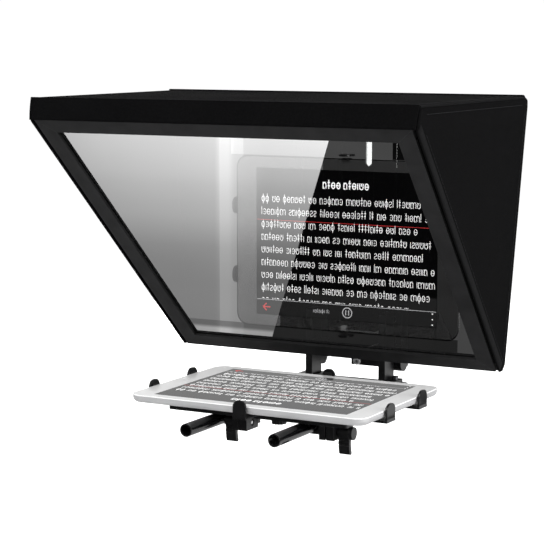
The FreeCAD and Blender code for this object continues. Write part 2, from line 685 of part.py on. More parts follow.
def rod_ring(y0, y1):
    """Square-sided ring that rides on the right rod."""
    block = box(CLAMP_INNER, CLAMP_OUTER, y0, y1, CLAMP_BOTTOM, CLAMP_TOP)
    return fillet(block, 4, Y_AXIS, lambda middle: middle.z < CLAMP_BOTTOM + 1)


def rod_bore():
    return along_y(-70, 70, ROD_X, ROD_Z, ROD_RADIUS + FIT)


def make_clamp_blocks():
    """Rod clamps under the front beam; each reaches forward to a block that holds its lever's screw."""
    front, back = LEVER_BLOCK_Y
    bottom = CLAMP_BOTTOM + 1.8
    top = TRAY_TOP - BEAM_THICK - 0.1
    link_back = CLAMP_RING_Y[1]
    screw_hole = LEVER_SCREW_RADIUS + FIT
    inner, outer = LEVER_BLOCK_LEFT
    link_end = -SPINE_HALF - 0.4
    left = fuse(sided(rod_ring(*CLAMP_RING_Y), -1), box(inner, outer, front, back, bottom, top),
                box(-CLAMP_INNER, link_end, back, link_back, bottom, top))
    left_cuts = [sided(rod_bore(), -1), along_x(inner, outer, LEVER_Y, ROD_Z, screw_hole),
                 along_x(outer - 2, outer, LEVER_Y, ROD_Z, 3.2),
                 box(-18, -17, front, front + 0.8, bottom, top)]
    save("clamp_block_left", left.cut(left_cuts))
    inner, outer = LEVER_BLOCK_RIGHT
    right = fuse(rod_ring(*CLAMP_RING_Y), box(inner, outer, front, back, bottom, top),
                 box(CLAMP_OUTER, outer, back, link_back, bottom, top))
    right_cuts = [rod_bore(), along_x(inner, outer, LEVER_Y, ROD_Z, screw_hole),
                  box(70.5, 72, front, front + 5, bottom, top)]
    save("clamp_block_right", right.cut(right_cuts))


def make_rod_glides():
    """Plastic rings under the rear beam that slide on the rods."""
    save("rod_glides", *both_sides(rod_ring(*GLIDE_Y).cut(rod_bore())))


def paddle(x0, x1):
    """Wavy finger paddle hanging from the lever's hub, grooved across its front."""
    hub_y = LEVER_Y
    tip = -40.5
    waist = -32.0
    front = Part.Arc(Vector(x0, hub_y - 2.4, ROD_Z), Vector(x0, hub_y - 3.2, waist),
                     Vector(x0, hub_y - 1.6, tip)).toShape()
    end = Part.Arc(Vector(x0, hub_y - 1.6, tip), Vector(x0, hub_y + 0.4, tip - 1.3),
                   Vector(x0, hub_y + 2.4, tip)).toShape()
    rear = Part.Arc(Vector(x0, hub_y + 2.4, tip), Vector(x0, hub_y + 1.0, waist),
                    Vector(x0, hub_y + 2.4, ROD_Z)).toShape()
    close = Part.makeLine(Vector(x0, hub_y + 2.4, ROD_Z), Vector(x0, hub_y - 2.4, ROD_Z))
    blade = Part.Face(Part.Wire([front, end, rear, close])).extrude(Vector(x1 - x0, 0, 0))
    grooves = [along_x(x0, x1, hub_y - 3.6, z, 0.9) for z in (-29.0, -33.0)]
    return blade.cut(grooves)


def make_clamp_levers():
    """Levers on the clamp screws: the left one sits in its block's slot, the right one outside."""
    left = fuse(along_x(-35.7, -24.2, LEVER_Y, ROD_Z, 5), paddle(-35.2, -24.7),
                along_x(-38.3, -9.5, LEVER_Y, ROD_Z, LEVER_SCREW_RADIUS))
    save("clamp_lever_left", left)
    right = fuse(along_x(80, 90.5, LEVER_Y, ROD_Z, 6), paddle(80, 90.5),
                 along_x(90.4, 94, LEVER_Y, ROD_Z, 5.8),
                 along_x(62, 80.1, LEVER_Y, ROD_Z, LEVER_SCREW_RADIUS))
    save("clamp_lever_right", right)


def keeper(half_gap, length):
    """Strap along Y=0 that bridges an arm lying along X."""
    wall = 3.0
    low = TRAY_TOP
    high = ARM_LOW + ARM_THICK + GAP
    strap = box(-length / 2, length / 2, -half_gap - wall, half_gap + wall, low, high + 1)
    return strap.cut(box(-length, length, -half_gap, half_gap, low, high))


def make_arm_keepers():
    """Six straps that hold the claw arms down on the beams."""
    keepers = []
    for x in (-SIDE_KEEPER_X, SIDE_KEEPER_X):
        for y in (-SIDE_ARM_Y, SIDE_ARM_Y):
            strap = keeper(SIDE_ARM_HALF + GAP, 6)
            strap.translate(Vector(x, y, 0))
            keepers.append(strap)
    for y in (-END_KEEPER_Y, END_KEEPER_Y):
        strap = keeper(END_ARM_HALF + GAP, 6)
        strap.rotate(Vector(), Z_AXIS, 90)
        strap.translate(Vector(0, y, 0))
        keepers.append(strap)
    save("arm_keepers", *keepers)


def make_rest_pads():
    """Rubber feet that the tablet lies on."""
    x, y = REST_PAD
    pads = [along_z(TRAY_TOP, -TABLET_THICK, sx * x, sy * y, 5) for sx in (-1, 1) for sy in (-1, 1)]
    save("tray_rest_pads", *pads)


def tab(half, top, radius):
    """Upright tab facing X with rounded top corners, standing on the arm."""
    body = box(0, CLAW_THICK, -half, half, ARM_LOW, top)
    return fillet(body, radius, X_AXIS, lambda middle: middle.z > top - 0.1)


def make_side_claws():
    """Sliding forks: two arms joined by a bridge, each ending in a rounded upright claw."""
    arm_end = CLAW_GRIP_X + CLAW_THICK
    high = ARM_LOW + ARM_THICK
    pieces = [box(44, 60, -27, 27, ARM_LOW, high)]
    for y in (-SIDE_ARM_Y, SIDE_ARM_Y):
        pieces.append(box(34, arm_end, y - SIDE_ARM_HALF, y + SIDE_ARM_HALF, ARM_LOW, high))
        claw = tab(8.5, 5.5, 7)
        claw.translate(Vector(CLAW_GRIP_X, y, 0))
        pieces.append(claw)
    fork = fuse(*pieces)
    for name, side in SIDES.items():
        save("claw_" + name, sided(fork, side))


def make_end_claws():
    """Single sliding claws at the middle of the front and back edges."""
    high = ARM_LOW + ARM_THICK
    for name, side, inner in (("front", -1, -10.0), ("back", 1, 14.0)):
        arm_end = CLAW_GRIP_Y + CLAW_THICK
        arm = box(-END_ARM_HALF, END_ARM_HALF, inner, arm_end, ARM_LOW, high)
        claw = tab(6.5, 6.0, 6.2)
        claw.rotate(Vector(), Z_AXIS, 90)
        claw.translate(Vector(0, arm_end, 0))
        shape = fuse(arm, claw)
        if side < 0:
            shape = shape.mirror(Vector(), Y_AXIS)
        save("claw_" + name, shape)


def make_lock_knobs():
    """Knurled knobs under the tray whose shanks press on the claw arms."""
    for name, (x, y) in KNOB_PLACES.items():
        under = TRAY_TOP - BEAM_THICK
        if abs(x) < 1:
            under -= SPINE_THICK
        top = under - 1.0
        knob = along_z(top - 8, top, x, y, LOCK_KNOB_RADIUS)
        knob = grooved_knob(knob, Vector(x, y, top), Z_AXIS, LOCK_KNOB_RADIUS)
        shank = along_z(top, TRAY_TOP + 0.15, x, y, LOCK_SHANK)
        save("lock_knob_" + name, fuse(knob, shank))


# ---- Tablet ----

def rounded_plate(length, width, corner, z0, z1):
    plate = box(-length / 2, length / 2, -width / 2, width / 2, z0, z1)
    return fillet(plate, corner, Z_AXIS)


def make_tablet():
    """Metal shell with rounded lower edges, cover glass border, display and home button."""
    seam = -COVER_GLASS
    shell = rounded_plate(TABLET_LENGTH, TABLET_WIDTH, TABLET_CORNER, -TABLET_THICK, seam)
    lower = [e for e in shell.Edges if e.BoundBox.ZMax < -TABLET_THICK + 0.01]
    shell = shell.makeFillet(4.5, lower)
    button_well = along_z(seam - 1, 0, HOME_BUTTON_X, 0, HOME_BUTTON_RADIUS + 0.15)
    save("tablet_body", shell.cut(button_well))
    border = rounded_plate(TABLET_LENGTH, TABLET_WIDTH, TABLET_CORNER, seam, 0)
    half_length = SCREEN_LENGTH / 2 + FIT
    half_width = SCREEN_WIDTH / 2 + FIT
    window = box(-half_length, half_length, -half_width, half_width, seam, 0)
    save("tablet_bezel", border.cut([window, button_well]))
    save("tablet_display", box(-SCREEN_LENGTH / 2, SCREEN_LENGTH / 2,
                               -SCREEN_WIDTH / 2, SCREEN_WIDTH / 2, seam, 0))
    save("home_button", along_z(seam - 0.5, -0.05, HOME_BUTTON_X, 0, HOME_BUTTON_RADIUS))


os.makedirs("parts", exist_ok=True)

make_rods()
make_base_block()
make_tripod_bush()
make_posts()
make_uprights()
make_base_screws()
make_camera_stage()
make_guide_block()
make_riser_lock_screws()
make_tilt_shaft()
make_tilt_knob()
make_riser()
make_camera_screw()
make_frame_rails()
make_glass()
make_glass_clips()
make_corner_plates()
make_frame_screws()
make_hinge_lugs()
make_hook_strips()
make_hood_sides()
make_hood_top()
make_hood_fascia()
make_rear_sleeve()
make_sleeve_back()
make_lens_flaps()
make_tray_beams()
make_tray_spine()
make_tray_screws()
make_clamp_blocks()
make_rod_glides()
make_clamp_levers()
make_arm_keepers()
make_rest_pads()
make_side_claws()
make_end_claws()
make_lock_knobs()
make_tablet()
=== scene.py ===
import json
import math
import random

import bpy
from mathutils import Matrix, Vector, noise


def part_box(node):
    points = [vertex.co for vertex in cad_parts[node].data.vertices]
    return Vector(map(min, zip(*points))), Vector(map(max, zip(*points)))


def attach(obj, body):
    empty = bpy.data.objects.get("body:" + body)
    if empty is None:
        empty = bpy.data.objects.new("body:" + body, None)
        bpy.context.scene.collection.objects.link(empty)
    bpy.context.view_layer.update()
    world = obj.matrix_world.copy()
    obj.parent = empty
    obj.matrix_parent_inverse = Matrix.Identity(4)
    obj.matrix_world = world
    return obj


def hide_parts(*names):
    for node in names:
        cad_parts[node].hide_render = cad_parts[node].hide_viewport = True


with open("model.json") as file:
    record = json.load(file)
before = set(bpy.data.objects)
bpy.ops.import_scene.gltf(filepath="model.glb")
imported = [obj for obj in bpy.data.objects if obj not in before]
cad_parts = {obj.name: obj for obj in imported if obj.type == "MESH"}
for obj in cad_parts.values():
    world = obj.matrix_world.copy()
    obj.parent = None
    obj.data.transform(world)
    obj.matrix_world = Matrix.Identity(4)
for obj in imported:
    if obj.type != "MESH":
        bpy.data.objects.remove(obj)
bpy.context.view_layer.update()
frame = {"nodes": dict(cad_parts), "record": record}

# Lengths below are in millimetres from the middle of the tablet's screen:
# x to the right, y back to the camera, z up.
low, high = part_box("tablet_display")
SCREEN_CENTRE = Vector(((low[0] + high[0]) / 2, (low[1] + high[1]) / 2, high[2]))

# The hood's slanted front edge starts here and rises forward at 45 degrees, beside the glass
MIRROR_Y = 102.4
MIRROR_Z = 15.5
HOOD_TOP = 272.8
HOOD_BACK = 114.0
HOOD_ROUND = 9.5
FASCIA_LOW = (-134.5, 252.4)
FASCIA_TOP_Y = -130.3
SHEET = 1.5
GLASS_NORMAL = Vector((0, -math.sqrt(0.5), -math.sqrt(0.5)))
# From the hood's slanted edge back to the middle of the glass, in metres
GLASS_DEPTH = 0.0048
# Cosine between the true and the rounded normal, below which an edge is rubbed
RUBBED_EDGE = 0.93


def at(x, y, z):
    return SCREEN_CENTRE + Vector((x, y, z)) * 0.001


def add_object(name, data):
    made = bpy.data.objects.new(name, data)
    bpy.context.scene.collection.objects.link(made)
    return made


# ---- Camera ----

camera = add_object("camera", bpy.data.cameras.new("camera"))
camera.location = (0.7941, -1.6270, 0.3646)
camera.rotation_euler = (math.radians(82.64), 0, math.radians(28.28))
camera.data.lens = 122.94
camera.data.sensor_width = 36
camera.data.clip_end = 20
bpy.context.scene.camera = camera
bpy.context.scene.view_settings.view_transform = "Standard"


# ---- Materials ----

class Shader:
    """A new material and short ways to add and join its nodes."""

    def __init__(self, name):
        self.material = bpy.data.materials.new(name)
        self.material.use_nodes = True
        self.tree = self.material.node_tree
        self.surface = self.tree.nodes["Principled BSDF"]
        self.output = self.tree.nodes["Material Output"]

    def add(self, kind, **settings):
        node = self.tree.nodes.new("ShaderNode" + kind)
        for name, value in settings.items():
            setattr(node, name, value)
        return node

    def join(self, start, end):
        self.tree.links.new(start, end)

    def math(self, operation, first, second=None):
        node = self.add("Math", operation=operation)
        for socket, value in zip(node.inputs, (first, second)):
            if value is None:
                continue
            if isinstance(value, (int, float)):
                socket.default_value = value
            else:
                self.join(value, socket)
        return node.outputs[0]

    def noise(self, coords, scale, detail=3.0, stretch=(1, 1, 1)):
        mapping = self.add("Mapping")
        mapping.inputs["Scale"].default_value = stretch
        self.join(coords, mapping.inputs["Vector"])
        node = self.add("TexNoise")
        node.inputs["Scale"].default_value = scale
        node.inputs["Detail"].default_value = detail
        self.join(mapping.outputs[0], node.inputs["Vector"])
        return node.outputs["Fac"]

    def near(self, value, middle, reach):
        """1 within reach of the middle, 0 beyond it."""
        result = self.math("COMPARE", value, middle)
        result.node.inputs[2].default_value = reach
        return result

    def dimmed(self, level, mask, loss):
        """The level, less a share of itself where the mask is 1."""
        kept = self.math("SUBTRACT", 1.0, self.math("MULTIPLY", mask, loss))
        return self.math("MULTIPLY", level, kept)

    def span(self, value, low, high):
        """Noise, which lies mostly between 0.3 and 0.7, spread from low to high."""
        node = self.add("MapRange")
        node.inputs["From Min"].default_value = 0.3
        node.inputs["From Max"].default_value = 0.7
        node.inputs["To Min"].default_value = low
        node.inputs["To Max"].default_value = high
        self.join(value, node.inputs["Value"])
        return node.outputs[0]

    def blend(self, factor, first, second):
        node = self.add("Mix", data_type="RGBA")
        self.join(factor, node.inputs[0])
        for socket, value in zip((node.inputs[6], node.inputs[7]), (first, second)):
            if isinstance(value, (tuple, list)):
                socket.default_value = (*value, 1)
            else:
                self.join(value, socket)
        return node.outputs[2]

    def bump(self, height, distance, base=None):
        node = self.add("Bump")
        node.inputs["Strength"].default_value = 1.0
        node.inputs["Distance"].default_value = distance
        self.join(height, node.inputs["Height"])
        if base:
            self.join(base, node.inputs["Normal"])
        return node.outputs[0]


def shade(colour, factor):
    return tuple(min(1.0, channel * factor) for channel in colour)


def hard(name, colour, rough, grain=1400, bump=0.00002, metallic=0.0, specular=0.5, worn=None,
         coat=0.0, stretch=(1, 1, 1), uneven=0.06, edge=0.0004, vary=0.14):
    """Moulded or machined surface: fine grain, uneven gloss, softened and slightly worn edges."""
    shader = Shader(name)
    surface = shader.surface
    coords = shader.add("TexCoord").outputs["Object"]
    rounded = shader.add("Bevel", samples=4)
    rounded.inputs["Radius"].default_value = edge
    tone = shader.noise(coords, 60, 4)
    tint = shader.blend(shader.span(tone, 0, 1), shade(colour, 1 - vary), shade(colour, 1 + vary))
    if worn:
        turned = shader.add("VectorMath", operation="DOT_PRODUCT")
        shader.join(rounded.outputs[0], turned.inputs[0])
        shader.join(shader.add("NewGeometry").outputs["Normal"], turned.inputs[1])
        rubbed = shader.math("LESS_THAN", turned.outputs["Value"], RUBBED_EDGE)
        patchy = shader.span(shader.noise(coords, 260, 4), 0.0, 0.7)
        tint = shader.blend(shader.math("MULTIPLY", rubbed, patchy), tint, worn)
    shader.join(tint, surface.inputs["Base Color"])
    smear = shader.noise(coords, 35, 5)
    shader.join(shader.span(smear, rough - uneven, rough + uneven), surface.inputs["Roughness"])
    fine = shader.noise(coords, grain, 2, stretch)
    shader.join(shader.bump(fine, bump, rounded.outputs[0]), surface.inputs["Normal"])
    surface.inputs["Metallic"].default_value = metallic
    surface.inputs["Specular IOR Level"].default_value = specular
    surface.inputs["Coat Weight"].default_value = coat
    surface.inputs["Coat Roughness"].default_value = 0.08
    return shader.material


def woven(name, colour, pitch, depth, specular=0.01, sheen=0.001, rough=0.8):
    """Plain weave that follows the sheet: its UVs are metres along and across the cloth."""
    shader = Shader(name)
    surface = shader.surface
    coords = shader.add("TexCoord")
    split = shader.add("SeparateXYZ")
    shader.join(coords.outputs["UV"], split.inputs[0])
    turns = 2 * math.pi / pitch
    warp = shader.math("SINE", shader.math("MULTIPLY", split.outputs[0], turns))
    weft = shader.math("SINE", shader.math("MULTIPLY", split.outputs[1], turns))
    knots = shader.math("MULTIPLY", warp, weft)
    slubs = shader.noise(coords.outputs["UV"], 900, 2, (1, 0.08, 1))
    height = shader.math("ADD", shader.math("MULTIPLY", knots, 0.7), slubs)
    cloud = shader.noise(coords.outputs["Object"], 14, 4)
    lint = shader.noise(coords.outputs["Object"], 700, 3)
    fade = shader.blend(shader.span(cloud, 0, 1), shade(colour, 0.8), shade(colour, 1.2))
    speck = shader.blend(shader.span(lint, 0, 1), shade(colour, 0.7), shade(colour, 1.5))
    threads = shader.blend(shader.math("GREATER_THAN", knots, 0.0), fade, speck)
    shader.join(threads, surface.inputs["Base Color"])
    shader.join(shader.span(cloud, rough - 0.06, rough + 0.06), surface.inputs["Roughness"])
    shader.join(shader.bump(height, depth), surface.inputs["Normal"])
    surface.inputs["Specular IOR Level"].default_value = specular
    surface.inputs["Sheen Weight"].default_value = sheen
    surface.inputs["Sheen Roughness"].default_value = 0.5
    return shader.material


def splitter():
    """Half-silvered glass: its coated front face reflects, its back face is nearly clear."""
    shader = Shader("beam_splitter")
    coords = shader.add("TexCoord").outputs["Object"]
    depth = shader.add("VectorMath", operation="DOT_PRODUCT")
    shader.join(coords, depth.inputs[0])
    depth.inputs[1].default_value = GLASS_NORMAL
    middle = at(0, MIRROR_Y, MIRROR_Z).dot(GLASS_NORMAL) - GLASS_DEPTH
    coated = shader.math("GREATER_THAN", depth.outputs["Value"], middle)
    haze = shader.noise(coords, 9, 4)
    clear = shader.add("BsdfTransparent")
    clear.inputs["Color"].default_value = (0.97, 0.98, 0.975, 1)
    mirror = shader.add("BsdfGlossy")
    mirror.inputs["Color"].default_value = (1, 1, 1, 1)
    mirror.inputs["Roughness"].default_value = 0
    coating = shader.math("MULTIPLY", coated, shader.span(haze, 0.59, 0.61))
    mix = shader.add("MixShader")
    shader.join(coating, mix.inputs[0])
    shader.join(clear.outputs[0], mix.inputs[1])
    shader.join(mirror.outputs[0], mix.inputs[2])
    shader.join(mix.outputs[0], shader.output.inputs["Surface"])
    return shader.material


def glowing(name, colour, strength):
    """Lit marks under the display's cover glass, a little uneven like the backlight."""
    shader = Shader(name)
    surface = shader.surface
    coords = shader.add("TexCoord").outputs["Object"]
    uneven = shader.span(shader.noise(coords, 40, 2), 0.9, 1.1)
    surface.inputs["Base Color"].default_value = (0.02, 0.02, 0.02, 1)
    surface.inputs["Specular IOR Level"].default_value = 0.0
    surface.inputs["Emission Color"].default_value = (*colour, 1)
    shader.join(shader.math("MULTIPLY", uneven, strength), surface.inputs["Emission Strength"])
    gloss = shader.add("BsdfGlossy")
    gloss.inputs["Roughness"].default_value = 0.09
    fresnel = shader.add("Fresnel")
    fresnel.inputs["IOR"].default_value = 1.5
    mix = shader.add("MixShader")
    shader.join(fresnel.outputs[0], mix.inputs[0])
    shader.join(surface.outputs[0], mix.inputs[1])
    shader.join(gloss.outputs[0], mix.inputs[2])
    shader.join(mix.outputs[0], shader.output.inputs["Surface"])
    return shader.material


MATERIALS = {
    "rod_black": hard("rod_black", (0.004, 0.004, 0.0045), 0.18, 2600, 0.000006, specular=0.5,
                      worn=(0.05, 0.05, 0.05), stretch=(1, 0.1, 1)),
    "anodised_black": hard("anodised_black", (0.006, 0.006, 0.0065), 0.34, 2200, 0.00001,
                           specular=0.4, worn=(0.06, 0.06, 0.065)),
    "frame_grey": hard("frame_grey", (0.0165, 0.0165, 0.017), 0.55, 2400, 0.000008, specular=0.06,
                       worn=(0.06, 0.06, 0.062), stretch=(0.06, 1, 1)),
    "screw_steel": hard("screw_steel", (0.11, 0.11, 0.115), 0.34, 3000, 0.000008, metallic=1.0,
                        worn=(0.3, 0.3, 0.3)),
    "chrome_steel": hard("chrome_steel", (0.72, 0.72, 0.73), 0.2, 3000, 0.000004, metallic=0.65,
                         uneven=0.04, vary=0.04),
    "brass": hard("brass", (0.58, 0.41, 0.16), 0.26, 2600, 0.000008, metallic=1.0,
                  worn=(0.75, 0.6, 0.35)),
    "black_plastic": hard("black_plastic", (0.005, 0.005, 0.0055), 0.32, 1500, 0.00004,
                          specular=0.4, worn=(0.03, 0.03, 0.031), edge=0.0006),
    "nylon": hard("nylon", (0.008, 0.008, 0.0085), 0.42, 1200, 0.00003, specular=0.35),
    "rubber_black": hard("rubber_black", (0.008, 0.008, 0.008), 0.7, 900, 0.00005, specular=0.2),
    "beam_splitter": splitter(),
    "tablet_shell": hard("tablet_shell", (0.4, 0.4, 0.405), 0.38, 4200, 0.000006, metallic=0.15,
                         vary=0.04),
    "tablet_border": hard("tablet_border", (0.9, 0.9, 0.9), 0.12, 60, 0.000004, specular=0.5,
                          uneven=0.04, vary=0.015),
    "tablet_screen": hard("tablet_screen", (0.002, 0.002, 0.0022), 0.09, 50, 0.000002,
                          specular=0.5, uneven=0.03, edge=0.0001),
    "button_white": hard("button_white", (0.8, 0.8, 0.8), 0.25, 800, 0.00001, coat=0.2),
    "hood_fabric": woven("hood_fabric", (0.0036, 0.0036, 0.0038), 0.0011, 0.00018),
    "hook_tape": woven("hook_tape", (0.004, 0.004, 0.004), 0.0016, 0.0004),
}
BINDING = woven("hood_binding", (0.007, 0.007, 0.0074), 0.0008, 0.00015, specular=0.03)
THREAD = woven("hood_thread", (0.02, 0.02, 0.021), 0.0004, 0.00005, specular=0.06)
LOOP_TAPE = woven("loop_tape", (0.002, 0.002, 0.002), 0.0013, 0.0004, rough=0.9)

for part in frame["record"]["subparts"]:
    node = frame["nodes"][part["node"]]
    if not node.material_slots:
        node.data.materials.append(None)
    for slot in node.material_slots:
        slot.material = MATERIALS[part["material_slot"]]


# ---- Making pieces ----

def piece(name, body, slot, points, faces, material=None, uvs=None, smooth=True):
    mesh = bpy.data.meshes.new(name)
    mesh.from_pydata([at(*point) for point in points], [], faces)
    if uvs:
        layer = mesh.uv_layers.new(name="cloth")
        for loop in mesh.loops:
            layer.data[loop.index].uv = uvs[loop.vertex_index]
    mesh.materials.append(material or MATERIALS[slot])
    mesh.polygons.foreach_set("use_smooth", [smooth] * len(mesh.polygons))
    made = add_object(name, mesh)
    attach(made, body)
    return made


def thicken(made, thickness, offset=-1.0):
    solid = made.modifiers.new("thickness", "SOLIDIFY")
    solid.thickness = thickness * 0.001
    solid.offset = offset
    solid.use_even_offset = True
    return made


def soften(made, width, segments=3, angle=30):
    bevel = made.modifiers.new("soft_edges", "BEVEL")
    bevel.width = width * 0.001
    bevel.segments = segments
    bevel.limit_method = "ANGLE"
    bevel.angle_limit = math.radians(angle)
    return made


def grid(rows, keep=None):
    """Faces and cloth UVs, in metres, of a grid of points given row by row."""
    columns = len(rows[0])
    middle = columns // 2
    points = [point for row in rows for point in row]
    faces = []
    for r in range(len(rows) - 1):
        for c in range(columns - 1):
            if keep is None or keep(r, c):
                first = r * columns + c
                faces.append((first, first + 1, first + columns + 1, first + columns))
    uvs = []
    along = 0.0
    for r, row in enumerate(rows):
        if r:
            along += (Vector(row[middle]) - Vector(rows[r - 1][middle])).length
        across = 0.0
        for c, point in enumerate(row):
            if c:
                across += (Vector(point) - Vector(row[c - 1])).length
            uvs.append((across * 0.001, along * 0.001))
    return points, faces, uvs


def cloth(name, body, rows, thickness, offset=-1.0, material=None, keep=None):
    """Sheet of fabric through a grid of points, thickened to one side of it."""
    points, faces, uvs = grid(rows, keep)
    made = piece(name, body, "hood_fabric", points, faces, material, uvs)
    return thicken(made, thickness, offset)


def lerp(first, second, part):
    return first + (second - first) * part


def between(first, second, part):
    return tuple(lerp(a, b, part) for a, b in zip(first, second))


def steps(count):
    return [index / count for index in range(count + 1)]


def ripple(x, y, z, size=38.0):
    """Between -1 and 1, slowly varying."""
    return noise.noise(Vector((x / size, y / size, z / size)))


def tube(name, body, paths, radius, material):
    """Round cord or thread along one or more paths of points."""
    curve = bpy.data.curves.new(name, "CURVE")
    curve.dimensions = "3D"
    curve.bevel_depth = radius * 0.001
    curve.bevel_resolution = 2
    curve.use_fill_caps = True
    for path in paths:
        spline = curve.splines.new("POLY")
        spline.points.add(len(path) - 1)
        for point, place in zip(spline.points, path):
            point.co = (*at(*place), 1)
    curve.materials.append(material)
    made = add_object(name, curve)
    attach(made, body)
    return made


def stitches(path, length=2.6, gap=1.5):
    """Short straight pieces of thread along a path."""
    found = []
    for first, second in zip(path, path[1:]):
        first, second = Vector(first), Vector(second)
        run = (second - first).length
        count = int(run // (length + gap))
        if not count:
            continue
        step = (second - first) / run
        pitch = run / count
        for index in range(count):
            start = first + step * (index * pitch + gap / 2)
            found.append([tuple(start), tuple(start + step * (pitch - gap))])
    return found


# ---- Hood cover: one sheet up the left wall, over the top and down the right wall ----

HOOD_HALF_LOW = 172.0
HOOD_FLARE = 0.0748
FOOT_ROUND = 5


def hood_half(z):
    """Half the hood's width at a height."""
    return HOOD_HALF_LOW + HOOD_FLARE * (z - MIRROR_Z)


def front_y(z):
    if z <= FASCIA_LOW[1]:
        return MIRROR_Y - (z - MIRROR_Z)
    return lerp(FASCIA_LOW[0], FASCIA_TOP_Y, (z - FASCIA_LOW[1]) / (HOOD_TOP - FASCIA_LOW[1]))


def back_y(z):
    rise = z - (HOOD_TOP - HOOD_ROUND)
    if rise > 0:
        return HOOD_BACK - HOOD_ROUND + math.sqrt(max(0.0, HOOD_ROUND ** 2 - rise ** 2))
    dip = MIRROR_Z + FOOT_ROUND - z
    if dip > 0:
        return HOOD_BACK - FOOT_ROUND + math.sqrt(max(0.0, FOOT_ROUND ** 2 - dip ** 2))
    return HOOD_BACK


def hood_section():
    """(x, z) up the right wall and over the rounded edge to the middle of the top."""
    corner = 4.5
    skin = 0.3
    turns = 8
    top = HOOD_TOP - skin
    wall_end = top - corner
    section = []
    for part in steps(46):
        z = lerp(MIRROR_Z, wall_end, part)
        section.append((hood_half(z) - skin, z))
    centre = hood_half(wall_end) - skin - corner
    for step in range(1, turns):
        turn = math.radians(90 * step / turns)
        section.append((centre + corner * math.cos(turn), wall_end + corner * math.sin(turn)))
    for part in steps(16):
        section.append((lerp(centre, 0, part), top))
    return section


def sunk(x, y, z, amount):
    """How far the cloth sinks in at a place, least along its edges."""
    margin = 25
    edge = min(1.0, (y - front_y(z)) / margin, (back_y(z) - y) / margin)
    calm = max(0.0, edge)
    return amount * calm * (0.5 + 0.5 * ripple(x, y, z, 55) + 0.25 * ripple(x, y, z, 21))


COVER_SINK = 0.9
ROOF_LOW = HOOD_TOP - 4
half_section = hood_section()
section = [(-x, z) for x, z in half_section] + [(x, z) for x, z in half_section[-2::-1]]
rows = []
for x, z in section:
    row = []
    for part in steps(54):
        y = lerp(front_y(z), back_y(z), part)
        sink = sunk(x, y, z, COVER_SINK)
        if z > ROOF_LOW:
            row.append((x, y, z - sink))
        else:
            row.append((x - math.copysign(sink, x), y, z))
    rows.append(row)
hood_cover = cloth("hood_cover", "hood", rows, SHEET, 1.0)

# The rounded upper back edge, with its last row turned under over the sleeve
ROLL_RADIUS = HOOD_ROUND - 0.4
rows = []
for part in steps(8):
    turn = math.radians(90 * part)
    y = HOOD_BACK - HOOD_ROUND + ROLL_RADIUS * math.sin(turn)
    z = HOOD_TOP - HOOD_ROUND + ROLL_RADIUS * math.cos(turn)
    half = hood_half(z) - 2.2
    rows.append([(lerp(-half, half, across), y, z) for across in steps(40)])
rows.append([(x, y - 3.9, z - 0.7) for x, y, z in rows[-1]])
hood_back_roll = cloth("hood_back_roll", "hood", rows, 1.4, 1.0)

FASCIA_PUFF = 0.5
rows = []
for part in steps(8):
    y = lerp(FASCIA_LOW[0] - 0.6, FASCIA_TOP_Y, part)
    z = lerp(FASCIA_LOW[1], HOOD_TOP - 0.5, part)
    half = hood_half(z) - 1.2
    puff = FASCIA_PUFF * math.sin(math.pi * part)
    row = []
    for across in steps(60):
        x = lerp(-half, half, across)
        row.append((x, y - puff * (1 + 0.5 * ripple(x, y, z, 30)), z))
    rows.append(row)
fascia_cloth = cloth("fascia_cloth", "hood", rows, 1.8, 1.0)


# ---- Rear sleeve, lens panel and flaps ----

def sleeve_outline(half_low, z_low, half_high, z_high, corner):
    """Points round the sleeve from bottom left over the top to bottom right."""
    points = []
    for part in steps(24):
        points.append((lerp(half_low, half_high, part), lerp(z_low, z_high - corner, part)))
    for step in range(1, 5):
        turn = math.radians(90 * step / 5)
        points.append((half_high - corner + corner * math.cos(turn),
                       z_high - corner + corner * math.sin(turn)))
    for part in steps(12):
        points.append((lerp(half_high - corner, 0, part), z_high))
    return [(-x, z) for x, z in points] + points[-2::-1]


# Half width and height at the foot, then half width and height at the top
SLEEVE_FRONT = (hood_half(MIRROR_Z) - 3.2, MIRROR_Z, hood_half(262.5) - 3.2, 262.3)
panel_low, panel_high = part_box("sleeve_back")
PANEL_LOW = 8.0
PANEL_TOP = 234.8
SLEEVE_END = (min((panel_high[0] - panel_low[0]) * 500, 75.0) - 0.4, PANEL_LOW, 74.6, PANEL_TOP)
SLEEVE_FRONT_Y = 109.7
SLEEVE_END_Y = 174.8
SLEEVE_SAG = 1.2

front_outline = sleeve_outline(*SLEEVE_FRONT, corner=5.0)
end_outline = sleeve_outline(*SLEEVE_END, corner=3.0)
rows = []
for (x0, z0), (x1, z1) in zip(front_outline, end_outline):
    row = []
    for part in steps(22):
        x, y, z = between((x0, SLEEVE_FRONT_Y, z0), (x1, SLEEVE_END_Y, z1), part)
        sag = SLEEVE_SAG * math.sin(math.pi * part) * (0.6 + 0.6 * ripple(x, y, z, 40))
        if z > lerp(SLEEVE_FRONT[3], SLEEVE_END[3], part) - 5:
            row.append((x, y, z - sag))
        else:
            row.append((x - math.copysign(sag, x), y, z))
    rows.append(row)
sleeve_cloth = cloth("sleeve_cloth", "hood", rows, SHEET, 1.0)

OPENING_HALF = 31.2
OPENING_TOP = 225.0
PANEL_Y = 175.5
# Steps across the panel beside the opening and across the opening, and up to its top
SIDE_STEPS = 12
MIDDLE_STEPS = 8
OPENING_STEPS = 34


def swollen(x, z, part):
    """Point of the panel beside the opening, where the cloth swells a little."""
    return (x, PANEL_Y + 0.5 * math.sin(math.pi * part) * ripple(x, 0, z, 30), z)


def outside_opening(row, column):
    return row >= OPENING_STEPS or not SIDE_STEPS <= column < SIDE_STEPS + MIDDLE_STEPS


